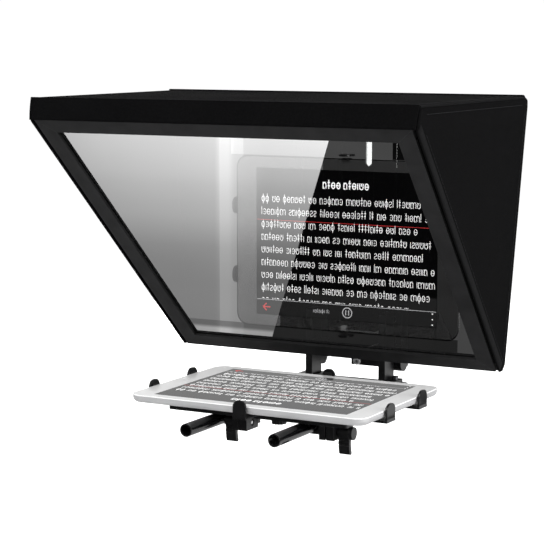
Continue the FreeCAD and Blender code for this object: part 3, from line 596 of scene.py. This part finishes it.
rows = []
levels = [lerp(PANEL_LOW, OPENING_TOP, part) for part in steps(OPENING_STEPS)]
for z in levels + [228.0, 231.0, 234.6]:
    edge = lerp(SLEEVE_END[0], SLEEVE_END[2], (z - PANEL_LOW) / (PANEL_TOP - PANEL_LOW))
    row = [swollen(lerp(-edge, -OPENING_HALF, part), z, part) for part in steps(SIDE_STEPS)]
    row += [(lerp(-OPENING_HALF, OPENING_HALF, part), PANEL_Y, z)
            for part in steps(MIDDLE_STEPS)[1:-1]]
    row += [swollen(lerp(OPENING_HALF, edge, part), z, part) for part in steps(SIDE_STEPS)]
    rows.append(row)
lens_panel = cloth("lens_panel", "hood", rows, 1.4, keep=outside_opening)

FLAP_LOW = 44.0
FLAP_HIGH = 224.7
FLAP_Y = 176.5
FLAP_OUTER = 30.2
SLIT_LOW = 197.0
HEM_X = OPENING_HALF + 0.1
HEM_Y = PANEL_Y + 0.7

# The right hem stops at the foot of the slit, and leaves the slit's light open
opening_hem = tube("opening_hem", "hood", [
    [(-HEM_X, HEM_Y, lerp(9.0, OPENING_TOP, part)) for part in steps(30)],
    [(HEM_X, HEM_Y, lerp(9.0, SLIT_LOW, part)) for part in steps(26)]], 0.95, BINDING)
sleeve_binding = tube("sleeve_binding", "hood",
                      [[(x, 175.1, z) for x, z in end_outline]], 1.0, BINDING)


def flap_inner(z):
    """Half the gap between the flaps: closed below, a short slit at the top."""
    return lerp(0.2, 3.5, min(1.0, max(0.0, (z - SLIT_LOW) / 3)))


levels = [lerp(FLAP_LOW, SLIT_LOW, part) for part in steps(36)]
levels += [SLIT_LOW + 1, SLIT_LOW + 2, SLIT_LOW + 3]
levels += [lerp(SLIT_LOW + 4.5, FLAP_HIGH, part) for part in steps(6)]
for name, side in (("left", -1), ("right", 1)):
    body = "lens_flap_" + name
    rows = []
    for z in levels:
        row = []
        for across in steps(10):
            x = lerp(flap_inner(z), FLAP_OUTER, across)
            bow = 0.4 * math.sin(math.pi * across) * (0.4 + 0.6 * ripple(x * side, 0, z, 30))
            row.append((side * x, FLAP_Y + bow, z))
        rows.append(row)
    flap = cloth("flap_cloth_" + name, body, rows, 1.3, 0.0)
    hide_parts(body)
    edge = [(side * (flap_inner(z) + 0.55), FLAP_Y, z) for z in levels[1:-1]]
    hem = tube("flap_hem_" + name, body, [edge], 0.85, BINDING)
    hinge = [(side * (FLAP_OUTER - 0.75), FLAP_Y + 0.05, lerp(FLAP_LOW, FLAP_HIGH, part))
             for part in steps(6)]
    roll = tube("flap_hinge_roll_" + name, body, [hinge], 1.0, BINDING)
    line = [(side * 6.0, FLAP_Y - 0.7, z) for z in (FLAP_LOW + 4, FLAP_HIGH - 4)]
    seam = tube("flap_stitches_" + name, body, stitches(line), 0.22, THREAD)

# Strip of loop tape on the panel's inner face, right of the opening
rows = [[(lerp(31.9, 39.0, across), 174.9, lerp(40.0, 222.0, part)) for across in steps(3)]
        for part in steps(30)]
loop_strip = cloth("loop_strip", "hood", rows, 0.9, material=LOOP_TAPE)


# ---- Piping, binding and stitches ----

def along_edge(x_in, z_in):
    """Points from front to back beside the hood's top right edge."""
    x = hood_half(HOOD_TOP) - x_in
    return [(x, lerp(FASCIA_TOP_Y + 1, HOOD_BACK - HOOD_ROUND, part), HOOD_TOP - z_in)
            for part in steps(24)]


def mirrored(path):
    return [(-x, y, z) for x, y, z in path]


top_edge = along_edge(2.0, 1.7)
piping_sides = tube("piping_sides", "hood", [top_edge, mirrored(top_edge)], 1.2,
                    BINDING)

fascia_half = hood_half(FASCIA_LOW[1]) - 1.5
piping_fascia = tube("piping_fascia", "hood", [
    [(lerp(-fascia_half, fascia_half, part), FASCIA_LOW[0] - 0.4, FASCIA_LOW[1] + 1.1)
     for part in steps(30)],
    [(lerp(-fascia_half - 1, fascia_half + 1, part), FASCIA_TOP_Y + 0.6, HOOD_TOP - 1.4)
     for part in steps(30)]], 1.1, BINDING)

back_half = hood_half(HOOD_TOP) - 5
piping_back = tube("piping_back", "hood", [
    [(lerp(-back_half, back_half, part), HOOD_BACK - HOOD_ROUND, HOOD_TOP - 1.0)
     for part in steps(30)]], 0.9, BINDING)


def binding(name, side):
    """Tape folded over the slanted front edge of a side wall."""
    rows = []
    for part in steps(60):
        z = lerp(MIRROR_Z + 2, FASCIA_LOW[1] - 1, part)
        y = front_y(z)
        x = side * (hood_half(z) + 0.15)
        rows.append([(x, y + 0.3, z), (x, y + 3.2, z + 2.6), (x, y + 6.2, z + 5.4)])
    return cloth(name, "hood", rows, 0.6, -side, BINDING)


binding_left = binding("binding_left", -1)
binding_right = binding("binding_right", 1)

SEAM_SIDE = 180
SEAM_Z = HOOD_TOP - 0.25
wall_seam = [(hood_half(z) + 0.12, front_y(z) + 9.5, z + 5.4)
             for z in (lerp(MIRROR_Z + 4, FASCIA_LOW[1] - 10, part) for part in steps(30))]
upper_seam = [(hood_half(264.5) + 0.05, lerp(-118, 98, part), 264.5) for part in steps(20)]
back_seam = [(hood_half(z) + 0.05, 107.0, z) for z in (lerp(30, 258, part) for part in steps(24))]
top_seam = [(hood_half(HOOD_TOP) - 9.0, lerp(-122, 98, part), SEAM_Z) for part in steps(20)]
front_seam = [(lerp(-SEAM_SIDE, SEAM_SIDE, part), -122.0, SEAM_Z) for part in steps(30)]
rear_seam = [(lerp(-SEAM_SIDE, SEAM_SIDE, part), 97.0, SEAM_Z) for part in steps(30)]
paths = []
for line in (wall_seam, upper_seam, back_seam, top_seam):
    paths += stitches(line) + stitches(mirrored(line))
paths += stitches(front_seam) + stitches(rear_seam)
hood_stitches = tube("hood_stitches", "hood", paths, 0.2, THREAD)

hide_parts("hood_side_left", "hood_side_right", "hood_top")
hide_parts("hood_fascia")
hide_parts("rear_sleeve")
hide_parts("sleeve_back")


# ---- Rubber pads on the claws ----

def block(x0, x1, y0, y1, z0, z1):
    corners = [(x, y, z) for x in (x0, x1) for y in (y0, y1) for z in (z0, z1)]
    faces = [(0, 1, 3, 2), (4, 6, 7, 5), (0, 4, 5, 1), (2, 3, 7, 6), (0, 2, 6, 4), (1, 5, 7, 3)]
    return corners, faces


PAD_LOW = -6.5
for name, side in (("left", -1), ("right", 1)):
    points = []
    faces = []
    for y in (-35.0, 35.0):
        xs = sorted((side * 120.3, side * 121.5))
        corners, sides = block(xs[0], xs[1], y - 6.5, y + 6.5, PAD_LOW, 2.5)
        faces += [tuple(index + len(points) for index in face) for face in sides]
        points += corners
    pads = piece("claw_pads_" + name, "claw_" + name, "rubber_black", points, faces, smooth=False)
    soften(pads, 0.5)
for name, y0, y1 in (("front", -86.0, -85.05), ("back", 85.05, 86.0)):
    points, faces = block(-4.5, 4.5, y0, y1, PAD_LOW, 2.8)
    pad = piece("claw_pad_" + name, "claw_" + name, "rubber_black", points, faces, smooth=False)
    soften(pad, 0.4)


# ---- Tip of the left clamp's lever screw, in its counterbore ----

TIP_Y = -49
TIP_Z = -22.2
TIP_SIDES = 16
points = []
faces = []
for x, radius in ((-10.2, 1.7), (-9.5, 1.7), (-9.25, 1.45)):
    for step in range(TIP_SIDES):
        turn = math.tau * step / TIP_SIDES
        points.append((x, TIP_Y + radius * math.cos(turn), TIP_Z + radius * math.sin(turn)))
for ring in (0, TIP_SIDES):
    for step in range(TIP_SIDES):
        after = (step + 1) % TIP_SIDES
        faces.append((ring + step, ring + after, ring + TIP_SIDES + after, ring + TIP_SIDES + step))
faces += [tuple(range(TIP_SIDES - 1, -1, -1)), tuple(range(2 * TIP_SIDES, 3 * TIP_SIDES))]
tip = piece("clamp_screw_tip", "clamp_lever_left", "chrome_steel", points, faces, smooth=False)
soften(tip, 0.1)


# ---- Script on the display: rows of simple made-up signs that spell nothing ----

dice = random.Random(7)
MARK_TOP = 0.04
SCREEN_EDGE = 98.0
SCREEN_BACK = 73.4


class Marks:
    """Thin raised strokes that lie on the display."""

    def __init__(self, back=SCREEN_BACK):
        self.points = []
        self.faces = []
        self.back = back

    def stroke(self, x0, y0, x1, y1, width):
        """Straight stroke, cut where its part of the display ends."""
        if y0 > y1:
            x0, y0, x1, y1 = x1, y1, x0, y0
        if y0 >= self.back:
            return
        if y1 > self.back:
            x1 = lerp(x0, x1, (self.back - y0) / (y1 - y0))
            y1 = self.back
        x0, x1 = (max(-SCREEN_EDGE, min(SCREEN_EDGE, x)) for x in (x0, x1))
        run = Vector((x1 - x0, y1 - y0))
        if run.length < 0.05:
            return
        along = run.normalized()
        across = Vector((-along.y, along.x)) * width / 2
        along = along * width * 0.3
        start = Vector((x0, y0)) - along
        end = Vector((x1, y1)) + along
        flat = [start - across, end - across, end + across, start + across]
        first = len(self.points)
        self.points += [(p.x, p.y, 0.0) for p in flat] + [(p.x, p.y, MARK_TOP) for p in flat]
        sides = ((0, 3, 2, 1), (4, 5, 6, 7), (0, 1, 5, 4), (1, 2, 6, 5), (2, 3, 7, 6), (3, 0, 4, 7))
        self.faces += [tuple(first + index for index in face) for face in sides]

    def arc(self, x, y, across, up, start, end, width, count=12):
        turns = [math.radians(lerp(start, end, part)) for part in steps(count)]
        spots = [(x + across * math.cos(turn), y + up * math.sin(turn)) for turn in turns]
        for first, second in zip(spots, spots[1:]):
            self.stroke(*first, *second, width)

    def arch(self, x, base, wide, body, width):
        """Upper half of a bowl, and a stem down its right side."""
        self.arc(x + wide / 2, base - body * 0.6, wide / 2, body * 0.4, 180, 360, width, 8)
        self.stroke(x + wide, base - body * 0.6, x + wide, base, width)

    def glyph(self, x, base, wide, tall, width):
        """One simple made-up sign on a base line. Returns how wide it is."""
        body = tall * 0.72
        middle = base - body / 2
        half = wide / 2
        kind = dice.choice(("ring", "ring", "ring", "arch", "arch", "gate", "cup", "cup", "hook",
                            "hook", "wave", "mast", "mast", "spindle", "post", "stem", "stem"))
        if kind in ("ring", "spindle"):
            self.arc(x + half, middle, half, body / 2, 0, 360, width)
            if kind == "ring":
                self.stroke(x, middle, x + wide, middle, width)
            else:
                self.stroke(x + half, base + tall * 0.25, x + half, base - tall, width)
            return wide
        if kind in ("arch", "gate"):
            self.stroke(x, base, x, base - body, width)
            self.stroke(x, base, x + wide * 0.4, base, width)
            self.arch(x, base, wide * 0.85, body, width)
            if kind == "arch":
                return wide * 0.85
            self.arch(x + wide * 0.85, base, wide * 0.85, body, width)
            return wide * 1.7
        if kind == "cup":
            for side in (x, x + wide):
                self.stroke(side, base - body, side, base - body * 0.4, width)
            self.arc(x + half, base - body * 0.4, half, body * 0.4, 0, 180, width, 8)
            self.stroke(x + half, base - body, x + half, base - body * 0.6, width)
            return wide
        if kind == "hook":
            self.arc(x + half, middle, half, body / 2, 220, 500, width)
            self.stroke(x + half * 0.4, middle, x + half * 1.1, middle, width)
            return wide
        if kind == "wave":
            lobe = half * 0.8
            self.arc(x + lobe, base - body * 0.74, lobe, body * 0.25, -160, 90, width, 8)
            self.arc(x + lobe, base - body * 0.25, lobe, body * 0.25, 20, 270, width, 8)
            return wide * 0.8
        if kind == "mast":
            self.stroke(x + wide * 0.3, base, x + wide * 0.3, base - tall, width)
            for level in (body, body * 0.45):
                self.stroke(x, base - level, x + wide * 0.6, base - level, width)
            return wide * 0.6
        self.stroke(x, base, x, base - (tall if kind == "post" else body), width)
        return wide * 0.05

    def words(self, x0, x1, base, wide, tall, width, space):
        """A line of signs in groups of two to eight."""
        x = x0
        while x < x1 - wide * 1.5:
            for _ in range(dice.choice((2, 3, 4, 5, 6, 7, 8))):
                if x > x1 - wide * 1.5:
                    return
                x += self.glyph(x, base, wide, tall, width) + width + 0.95
            x += space

    def make(self, name, colour, strength):
        piece(name, "tablet", "tablet_screen", self.points, self.faces,
              glowing(name, colour, strength), smooth=False)


LINE_LEFT = -92.5
LINE_RIGHTS = (98.5, 98.5, 79.0, 96.0, 91.0, 98.5, 98.5, 96.0, 74.0)
FIRST_LINE = -40.2
LINE_STEP = 12.8
SCRIPT_BACK = 57.4
CUE_Y = -22
BAR_Y = 58.5
BAR_EDGE = 97.6
BAR_MIDDLE = 66.0

# The white script: a title, the lines, and three dots at the bar's right end
script = Marks()
script.words(x0=-24, x1=29, base=-56.0, wide=3.7, tall=8.0, width=1.0, space=2.2)
script.back = SCRIPT_BACK
for line, right in enumerate(LINE_RIGHTS):
    script.words(LINE_LEFT, right, base=FIRST_LINE + LINE_STEP * line, wide=3.15, tall=7.7,
                 width=0.5, space=2.9)
script.back = SCREEN_BACK
for y in (BAR_MIDDLE - 5.4, BAR_MIDDLE, BAR_MIDDLE + 5.4):
    script.stroke(93.6, y, 94.2, y, 1.0)
script.make("script_marks", (1.0, 1.0, 1.0), 1.8)

# The red line and the red arrow at the bar's left end
cue = Marks()
cue.stroke(-BAR_EDGE, CUE_Y, BAR_EDGE, CUE_Y, 0.5)
for x, y in ((-83, BAR_MIDDLE), (-87.4, BAR_MIDDLE - 3.4), (-87.4, BAR_MIDDLE + 3.4)):
    cue.stroke(-91, BAR_MIDDLE, x, y, 1.2)
cue.make("cue_marks", (1.0, 0.05, 0.05), 0.8)

# The bar's edge, its small signs, and a ringed pause sign
footer = Marks()
footer.stroke(-BAR_EDGE, BAR_Y, BAR_EDGE, BAR_Y, 0.5)
footer.words(x0=-34, x1=-14, base=BAR_MIDDLE + 2, wide=1.7, tall=3.8, width=0.45, space=0.9)
footer.arc(3, BAR_MIDDLE, 5.0, 5.0, 0, 360, 0.9, 24)
for x in (1.4, 4.6):
    footer.stroke(x, BAR_MIDDLE - 2.2, x, BAR_MIDDLE + 2.2, 1.0)
footer.make("footer_marks", (0.8, 0.8, 0.82), 0.9)


# ---- Studio ----

# From the cards' own y, in the world's frame, to y from the screen's middle
SHIFT_Y = -SCREEN_CENTRE.y * 1000
SHIFT_M = SHIFT_Y * 0.001

# The sky card paints glare over the tablet's reflection in the glass; nothing else sees it
SKY_Z = 12
SKY_LEFT = -700
SKY_FRONT = -103.8
SKY_BACK = 98.8
# The sky card's right side is slanted: its x at the front and at the back
SKY_EDGE_FRONT = -11.9
SKY_EDGE_BACK = -75.8
FLOOR_Z = -266
FLOOR_HALF = 6000


def card(name, corners, material):
    mesh = bpy.data.meshes.new(name)
    mesh.from_pydata([at(*corner) for corner in corners], [], [tuple(range(len(corners)))])
    mesh.materials.append(material)
    made = add_object(name, mesh)
    return made


def mirror_only(made):
    """Seen in the glass and in gloss, but not by the camera, and without any shadow."""
    made.visible_camera = False
    made.visible_diffuse = False
    made.visible_transmission = False
    made.visible_volume_scatter = False
    made.visible_shadow = False


def steady(strength):
    """The same white glow all over a card."""
    def glow(shader, split, light):
        light.inputs["Strength"].default_value = strength
    return glow


def card_material(name, glow, opaque):
    """One-sided card: its front glows, its back isn't there."""
    shader = Shader(name)
    coords = shader.add("TexCoord").outputs["Object"]
    split = shader.add("SeparateXYZ")
    shader.join(coords, split.inputs[0])
    light = shader.add("Emission")
    glow(shader, split, light)
    clear = shader.add("BsdfTransparent")
    front = light.outputs[0]
    if not opaque:
        total = shader.add("AddShader")
        shader.join(light.outputs[0], total.inputs[0])
        shader.join(clear.outputs[0], total.inputs[1])
        front = total.outputs[0]
    mix = shader.add("MixShader")
    shader.join(shader.add("NewGeometry").outputs["Backfacing"], mix.inputs[0])
    shader.join(front, mix.inputs[1])
    shader.join(clear.outputs[0], mix.inputs[2])
    shader.join(mix.outputs[0], shader.output.inputs["Surface"])
    return shader.material


def ramp(shader, value, low, high, stops):
    """Brightness along an axis, from (place, level) stops."""
    scaled = shader.add("MapRange")
    scaled.inputs["From Min"].default_value = low
    scaled.inputs["From Max"].default_value = high
    shader.join(value, scaled.inputs["Value"])
    curve = shader.add("FloatCurve")
    points = curve.mapping.curves[0].points
    while len(points) < len(stops):
        points.new(0.5, 0.5)
    for point, (place, level) in zip(points, stops):
        point.location = ((place - low) / (high - low), level)
        point.handle_type = "VECTOR"
    curve.mapping.update()
    shader.join(scaled.outputs[0], curve.inputs["Value"])
    return curve.outputs[0]


def painted_glare_sky(shader, split, light):
    """Painted glare, seen only in the glass: bright towards the talent's side, fading to the glass,
    with one lighter band, and a quarter brighter ahead of the tablet.
    """
    place_x = shader.math("MULTIPLY", split.outputs[0], 1000)
    place_y = shader.math("ADD", shader.math("MULTIPLY", split.outputs[1], 1000), SHIFT_Y)
    depth = ramp(shader, place_y, -110, 110,
                 [(-110, 0.80), (-100, 0.75), (-81, 0.66), (-66, 0.585), (-54, 0.5), (-40, 0.43),
                  (-23, 0.363), (7, 0.21), (25, 0.165), (47, 0.135), (67, 0.135), (84, 0.12),
                  (87, 0.12), (90, 0.38), (110, 0.38)])
    width = ramp(shader, place_x, -400, 0,
                 [(-400, 0.36), (-330, 0.42), (-271, 0.52), (-216, 0.59), (-163, 0.65),
                  (-140, 0.68), (-134, 0.86), (-124, 0.86), (-117, 0.68), (-100, 0.64),
                  (-80, 0.62), (0, 0.66)])
    ahead = shader.math("MULTIPLY", shader.math("LESS_THAN", place_y, -87.5),
                        shader.math("GREATER_THAN", place_x, -121))
    lift = shader.math("ADD", shader.math("MULTIPLY", ahead, 0.25), 1.0)
    level = shader.math("MULTIPLY", shader.math("MULTIPLY", depth, width), lift)
    shader.join(shader.math("MULTIPLY", level, 2.1), light.inputs["Strength"])


def dark_room(shader, split, light):
    """Painted light and shade for the dim space under the glass, seen only in the glass: paler
    beyond the tablet's left end, with one paler band, darker behind the tablet, and with a dark
    column ahead of it."""
    x, y = split.outputs[0], split.outputs[1]
    wave = shader.add("TexNoise")
    wave.inputs["Scale"].default_value = 3
    beyond = shader.math("LESS_THAN", x, -0.118)
    level = shader.math("ADD", shader.math("MULTIPLY", beyond, 0.075),
                        shader.span(wave.outputs["Fac"], 0.085, 0.115))
    band = shader.near(x, -0.132, 0.014)
    level = shader.math("ADD", level, shader.math("MULTIPLY", band, 0.12))
    behind = shader.math("MULTIPLY", shader.math("LESS_THAN", x, 0.117),
                         shader.math("GREATER_THAN", y, 0.0855 - SHIFT_M))
    level = shader.dimmed(level, behind, 0.72)
    ahead = shader.math("LESS_THAN", y, -0.0855 - SHIFT_M)
    column = shader.near(x, 0.0535, 0.0065)
    level = shader.dimmed(level, shader.math("MULTIPLY", ahead, column), 0.95)
    shader.join(level, light.inputs["Strength"])


# Painted glare: a glowing see-through card just above the tablet, seen only in the glass and gloss
sky = card("sky_card", [(SKY_LEFT, SKY_FRONT, SKY_Z), (SKY_EDGE_FRONT, SKY_FRONT, SKY_Z),
                        (SKY_EDGE_BACK, SKY_BACK, SKY_Z), (SKY_LEFT, SKY_BACK, SKY_Z)],
           card_material("sky_card", painted_glare_sky, False))
mirror_only(sky)

# A low glowing card at the foot of the mirror that the display's glass reflects: a painted
# reflection, since nothing else sees it
painted_screen_reflection = card("display_card", [(-320, 92, 0.6), (120, 92, 0.6), (120, 52, 42), (-320, 52, 42)],
           card_material("display_card", steady(0.55), True))
mirror_only(painted_screen_reflection)


def shade_material(name, share):
    """One-sided card that lets only a share of what is below it reach the mirror."""
    shader = Shader(name)
    dim = shader.add("BsdfTransparent")
    dim.inputs["Color"].default_value = (share, share, share, 1)
    clear = shader.add("BsdfTransparent")
    mix = shader.add("MixShader")
    shader.join(shader.add("NewGeometry").outputs["Backfacing"], mix.inputs[0])
    shader.join(dim.outputs[0], mix.inputs[1])
    shader.join(clear.outputs[0], mix.inputs[2])
    shader.join(mix.outputs[0], shader.output.inputs["Surface"])
    return shader.material


def border_shade():
    """Ring over the tablet's pale border, set over to where the glass sees it.

    It is a little clearer left of a slanted line, where the glass sees the sky card's edge.
    """
    middle = (0.81, -0.22)
    half = (121.2, 85.7)
    hole = (98.1, 73.5)
    radius = 12.0
    height = 1.5
    line_front = -23.5
    line_back = -70.8
    outline = []
    for corner, (sx, sy) in enumerate(((1, 1), (-1, 1), (-1, -1), (1, -1))):
        for part in steps(6):
            turn = math.radians(90 * (corner + part))
            outline.append((sx * (half[0] - radius) + radius * math.cos(turn),
                            sy * (half[1] - radius) + radius * math.sin(turn)))
        if sy > 0 and sx > 0:
            outline.append((line_back - middle[0], half[1]))
        if sx < 0 and sy < 0:
            outline.append((line_front - middle[0], -half[1]))
    points = []
    for x, y in outline:
        inner_x = max(-hole[0], min(hole[0], x))
        inner_y = max(-hole[1], min(hole[1], y))
        points.append((middle[0] + x, middle[1] + y, height))
        points.append((middle[0] + inner_x, middle[1] + inner_y, height))
    faces = []
    for index in range(len(outline)):
        first, second = 2 * index, 2 * ((index + 1) % len(outline))
        if points[first + 1] == points[second + 1]:
            faces.append((first, second, first + 1))
        else:
            faces.append((first, second, second + 1, first + 1))
    mesh = bpy.data.meshes.new("border_shade")
    mesh.from_pydata([at(*point) for point in points], [], faces)
    mesh.materials.append(shade_material("shade_right", 0.05))
    mesh.materials.append(shade_material("shade_left", 0.2))
    for face in mesh.polygons:
        x, y = (face.center - SCREEN_CENTRE).to_2d() * 1000
        if x < lerp(line_front, line_back, (y + 85) / 170):
            face.material_index = 1
    made = add_object("border_shade", mesh)
    return made


mirror_only(border_shade())


# Seen only through the glass and lighting nothing: painted light from a glowing card behind the
# flaps' slit, painted shade from a black card below the flaps
for name, x0, x1, z0, z1, strength in (("slit_card", -3.6, 3.6, 195, 227, 2.6),
                                       ("dark_card", -34, 34, 18, 46, 0.0)):
    made = card(name, [(x0, 180, z0), (x1, 180, z0), (x1, 180, z1), (x0, 180, z1)],
                card_material(name, steady(strength), True))
    made.visible_diffuse = False
    made.visible_glossy = False
    made.visible_shadow = False

# Painted light and shade under the glass: a glowing card seen only in the glass and gloss
room = card("room_card", [(-360, -125, -8), (128, -125, -8), (128, 45, -8), (180, 45, -8),
                          (180, 112, -8), (-360, 112, -8)],
            card_material("room_card", dark_room, True))
mirror_only(room)

floor_shader = Shader("floor")
floor_coords = floor_shader.add("TexCoord").outputs["Object"]
floor_tone = floor_shader.span(floor_shader.noise(floor_coords, 3, 3), 0, 1)
floor_shader.join(floor_shader.blend(floor_tone, (0.9, 0.9, 0.9), (0.93, 0.93, 0.93)),
                  floor_shader.surface.inputs["Base Color"])
floor_shader.surface.inputs["Roughness"].default_value = 0.9
floor_shader.surface.inputs["Specular IOR Level"].default_value = 0.1
floor_shader.surface.inputs["Emission Color"].default_value = (1, 1, 1, 1)
floor_shader.surface.inputs["Emission Strength"].default_value = 0.3
floor = card("floor", [(x * FLOOR_HALF, y * FLOOR_HALF, FLOOR_Z)
                       for x, y in ((-1, -1), (1, -1), (1, 1), (-1, 1))], floor_shader.material)
floor.visible_glossy = False

# White where the camera sees it; as light, brighter from the back right and above
world = bpy.data.worlds.new("studio")
world.use_nodes = True
tree = world.node_tree
seen = tree.nodes["Background"]
seen.inputs["Color"].default_value = (1, 1, 1, 1)
seen.inputs["Strength"].default_value = 1.02
around = tree.nodes.new("ShaderNodeBackground")
towards = tree.nodes.new("ShaderNodeTexCoord")
side_on = tree.nodes.new("ShaderNodeVectorMath")
side_on.operation = "DOT_PRODUCT"
side_on.inputs[1].default_value = (0.4, 0.6, 0.6)
level = tree.nodes.new("ShaderNodeMapRange")
level.inputs["From Min"].default_value = -0.6
level.inputs["From Max"].default_value = 0.9
level.inputs["To Min"].default_value = 0.05
level.inputs["To Max"].default_value = 1.5
path = tree.nodes.new("ShaderNodeLightPath")
choice = tree.nodes.new("ShaderNodeMixShader")
tree.links.new(towards.outputs["Generated"], side_on.inputs[0])
tree.links.new(side_on.outputs["Value"], level.inputs["Value"])
tree.links.new(level.outputs[0], around.inputs["Strength"])
tree.links.new(path.outputs["Is Camera Ray"], choice.inputs[0])
tree.links.new(around.outputs[0], choice.inputs[1])
tree.links.new(seen.outputs[0], choice.inputs[2])
tree.links.new(choice.outputs[0], tree.nodes["World Output"].inputs["Surface"])
bpy.context.scene.world = world


def softbox(name, place, target, size, power, glossy=True):
    light = bpy.data.lights.new(name, "AREA")
    light.shape = "RECTANGLE"
    light.size, light.size_y = size
    light.energy = power
    made = add_object(name, light)
    made.location = place
    made.visible_glossy = glossy
    made.rotation_euler = (Vector(target) - Vector(place)).to_track_quat("-Z", "Y").to_euler()


softbox("front", place=(-0.1, -1.55, 1.35), target=(0, -0.13, 0.04), size=(1.0, 0.6), power=26)
softbox("right", place=(1.9, 0.1, 0.3), target=(0, -0.05, 0.0), size=(0.9, 0.9), power=24)
softbox("back", place=(-1.6, 1.6, 0.35), target=(0, 0, 0.12), size=(1.2, 0.8), power=40,
        glossy=False)
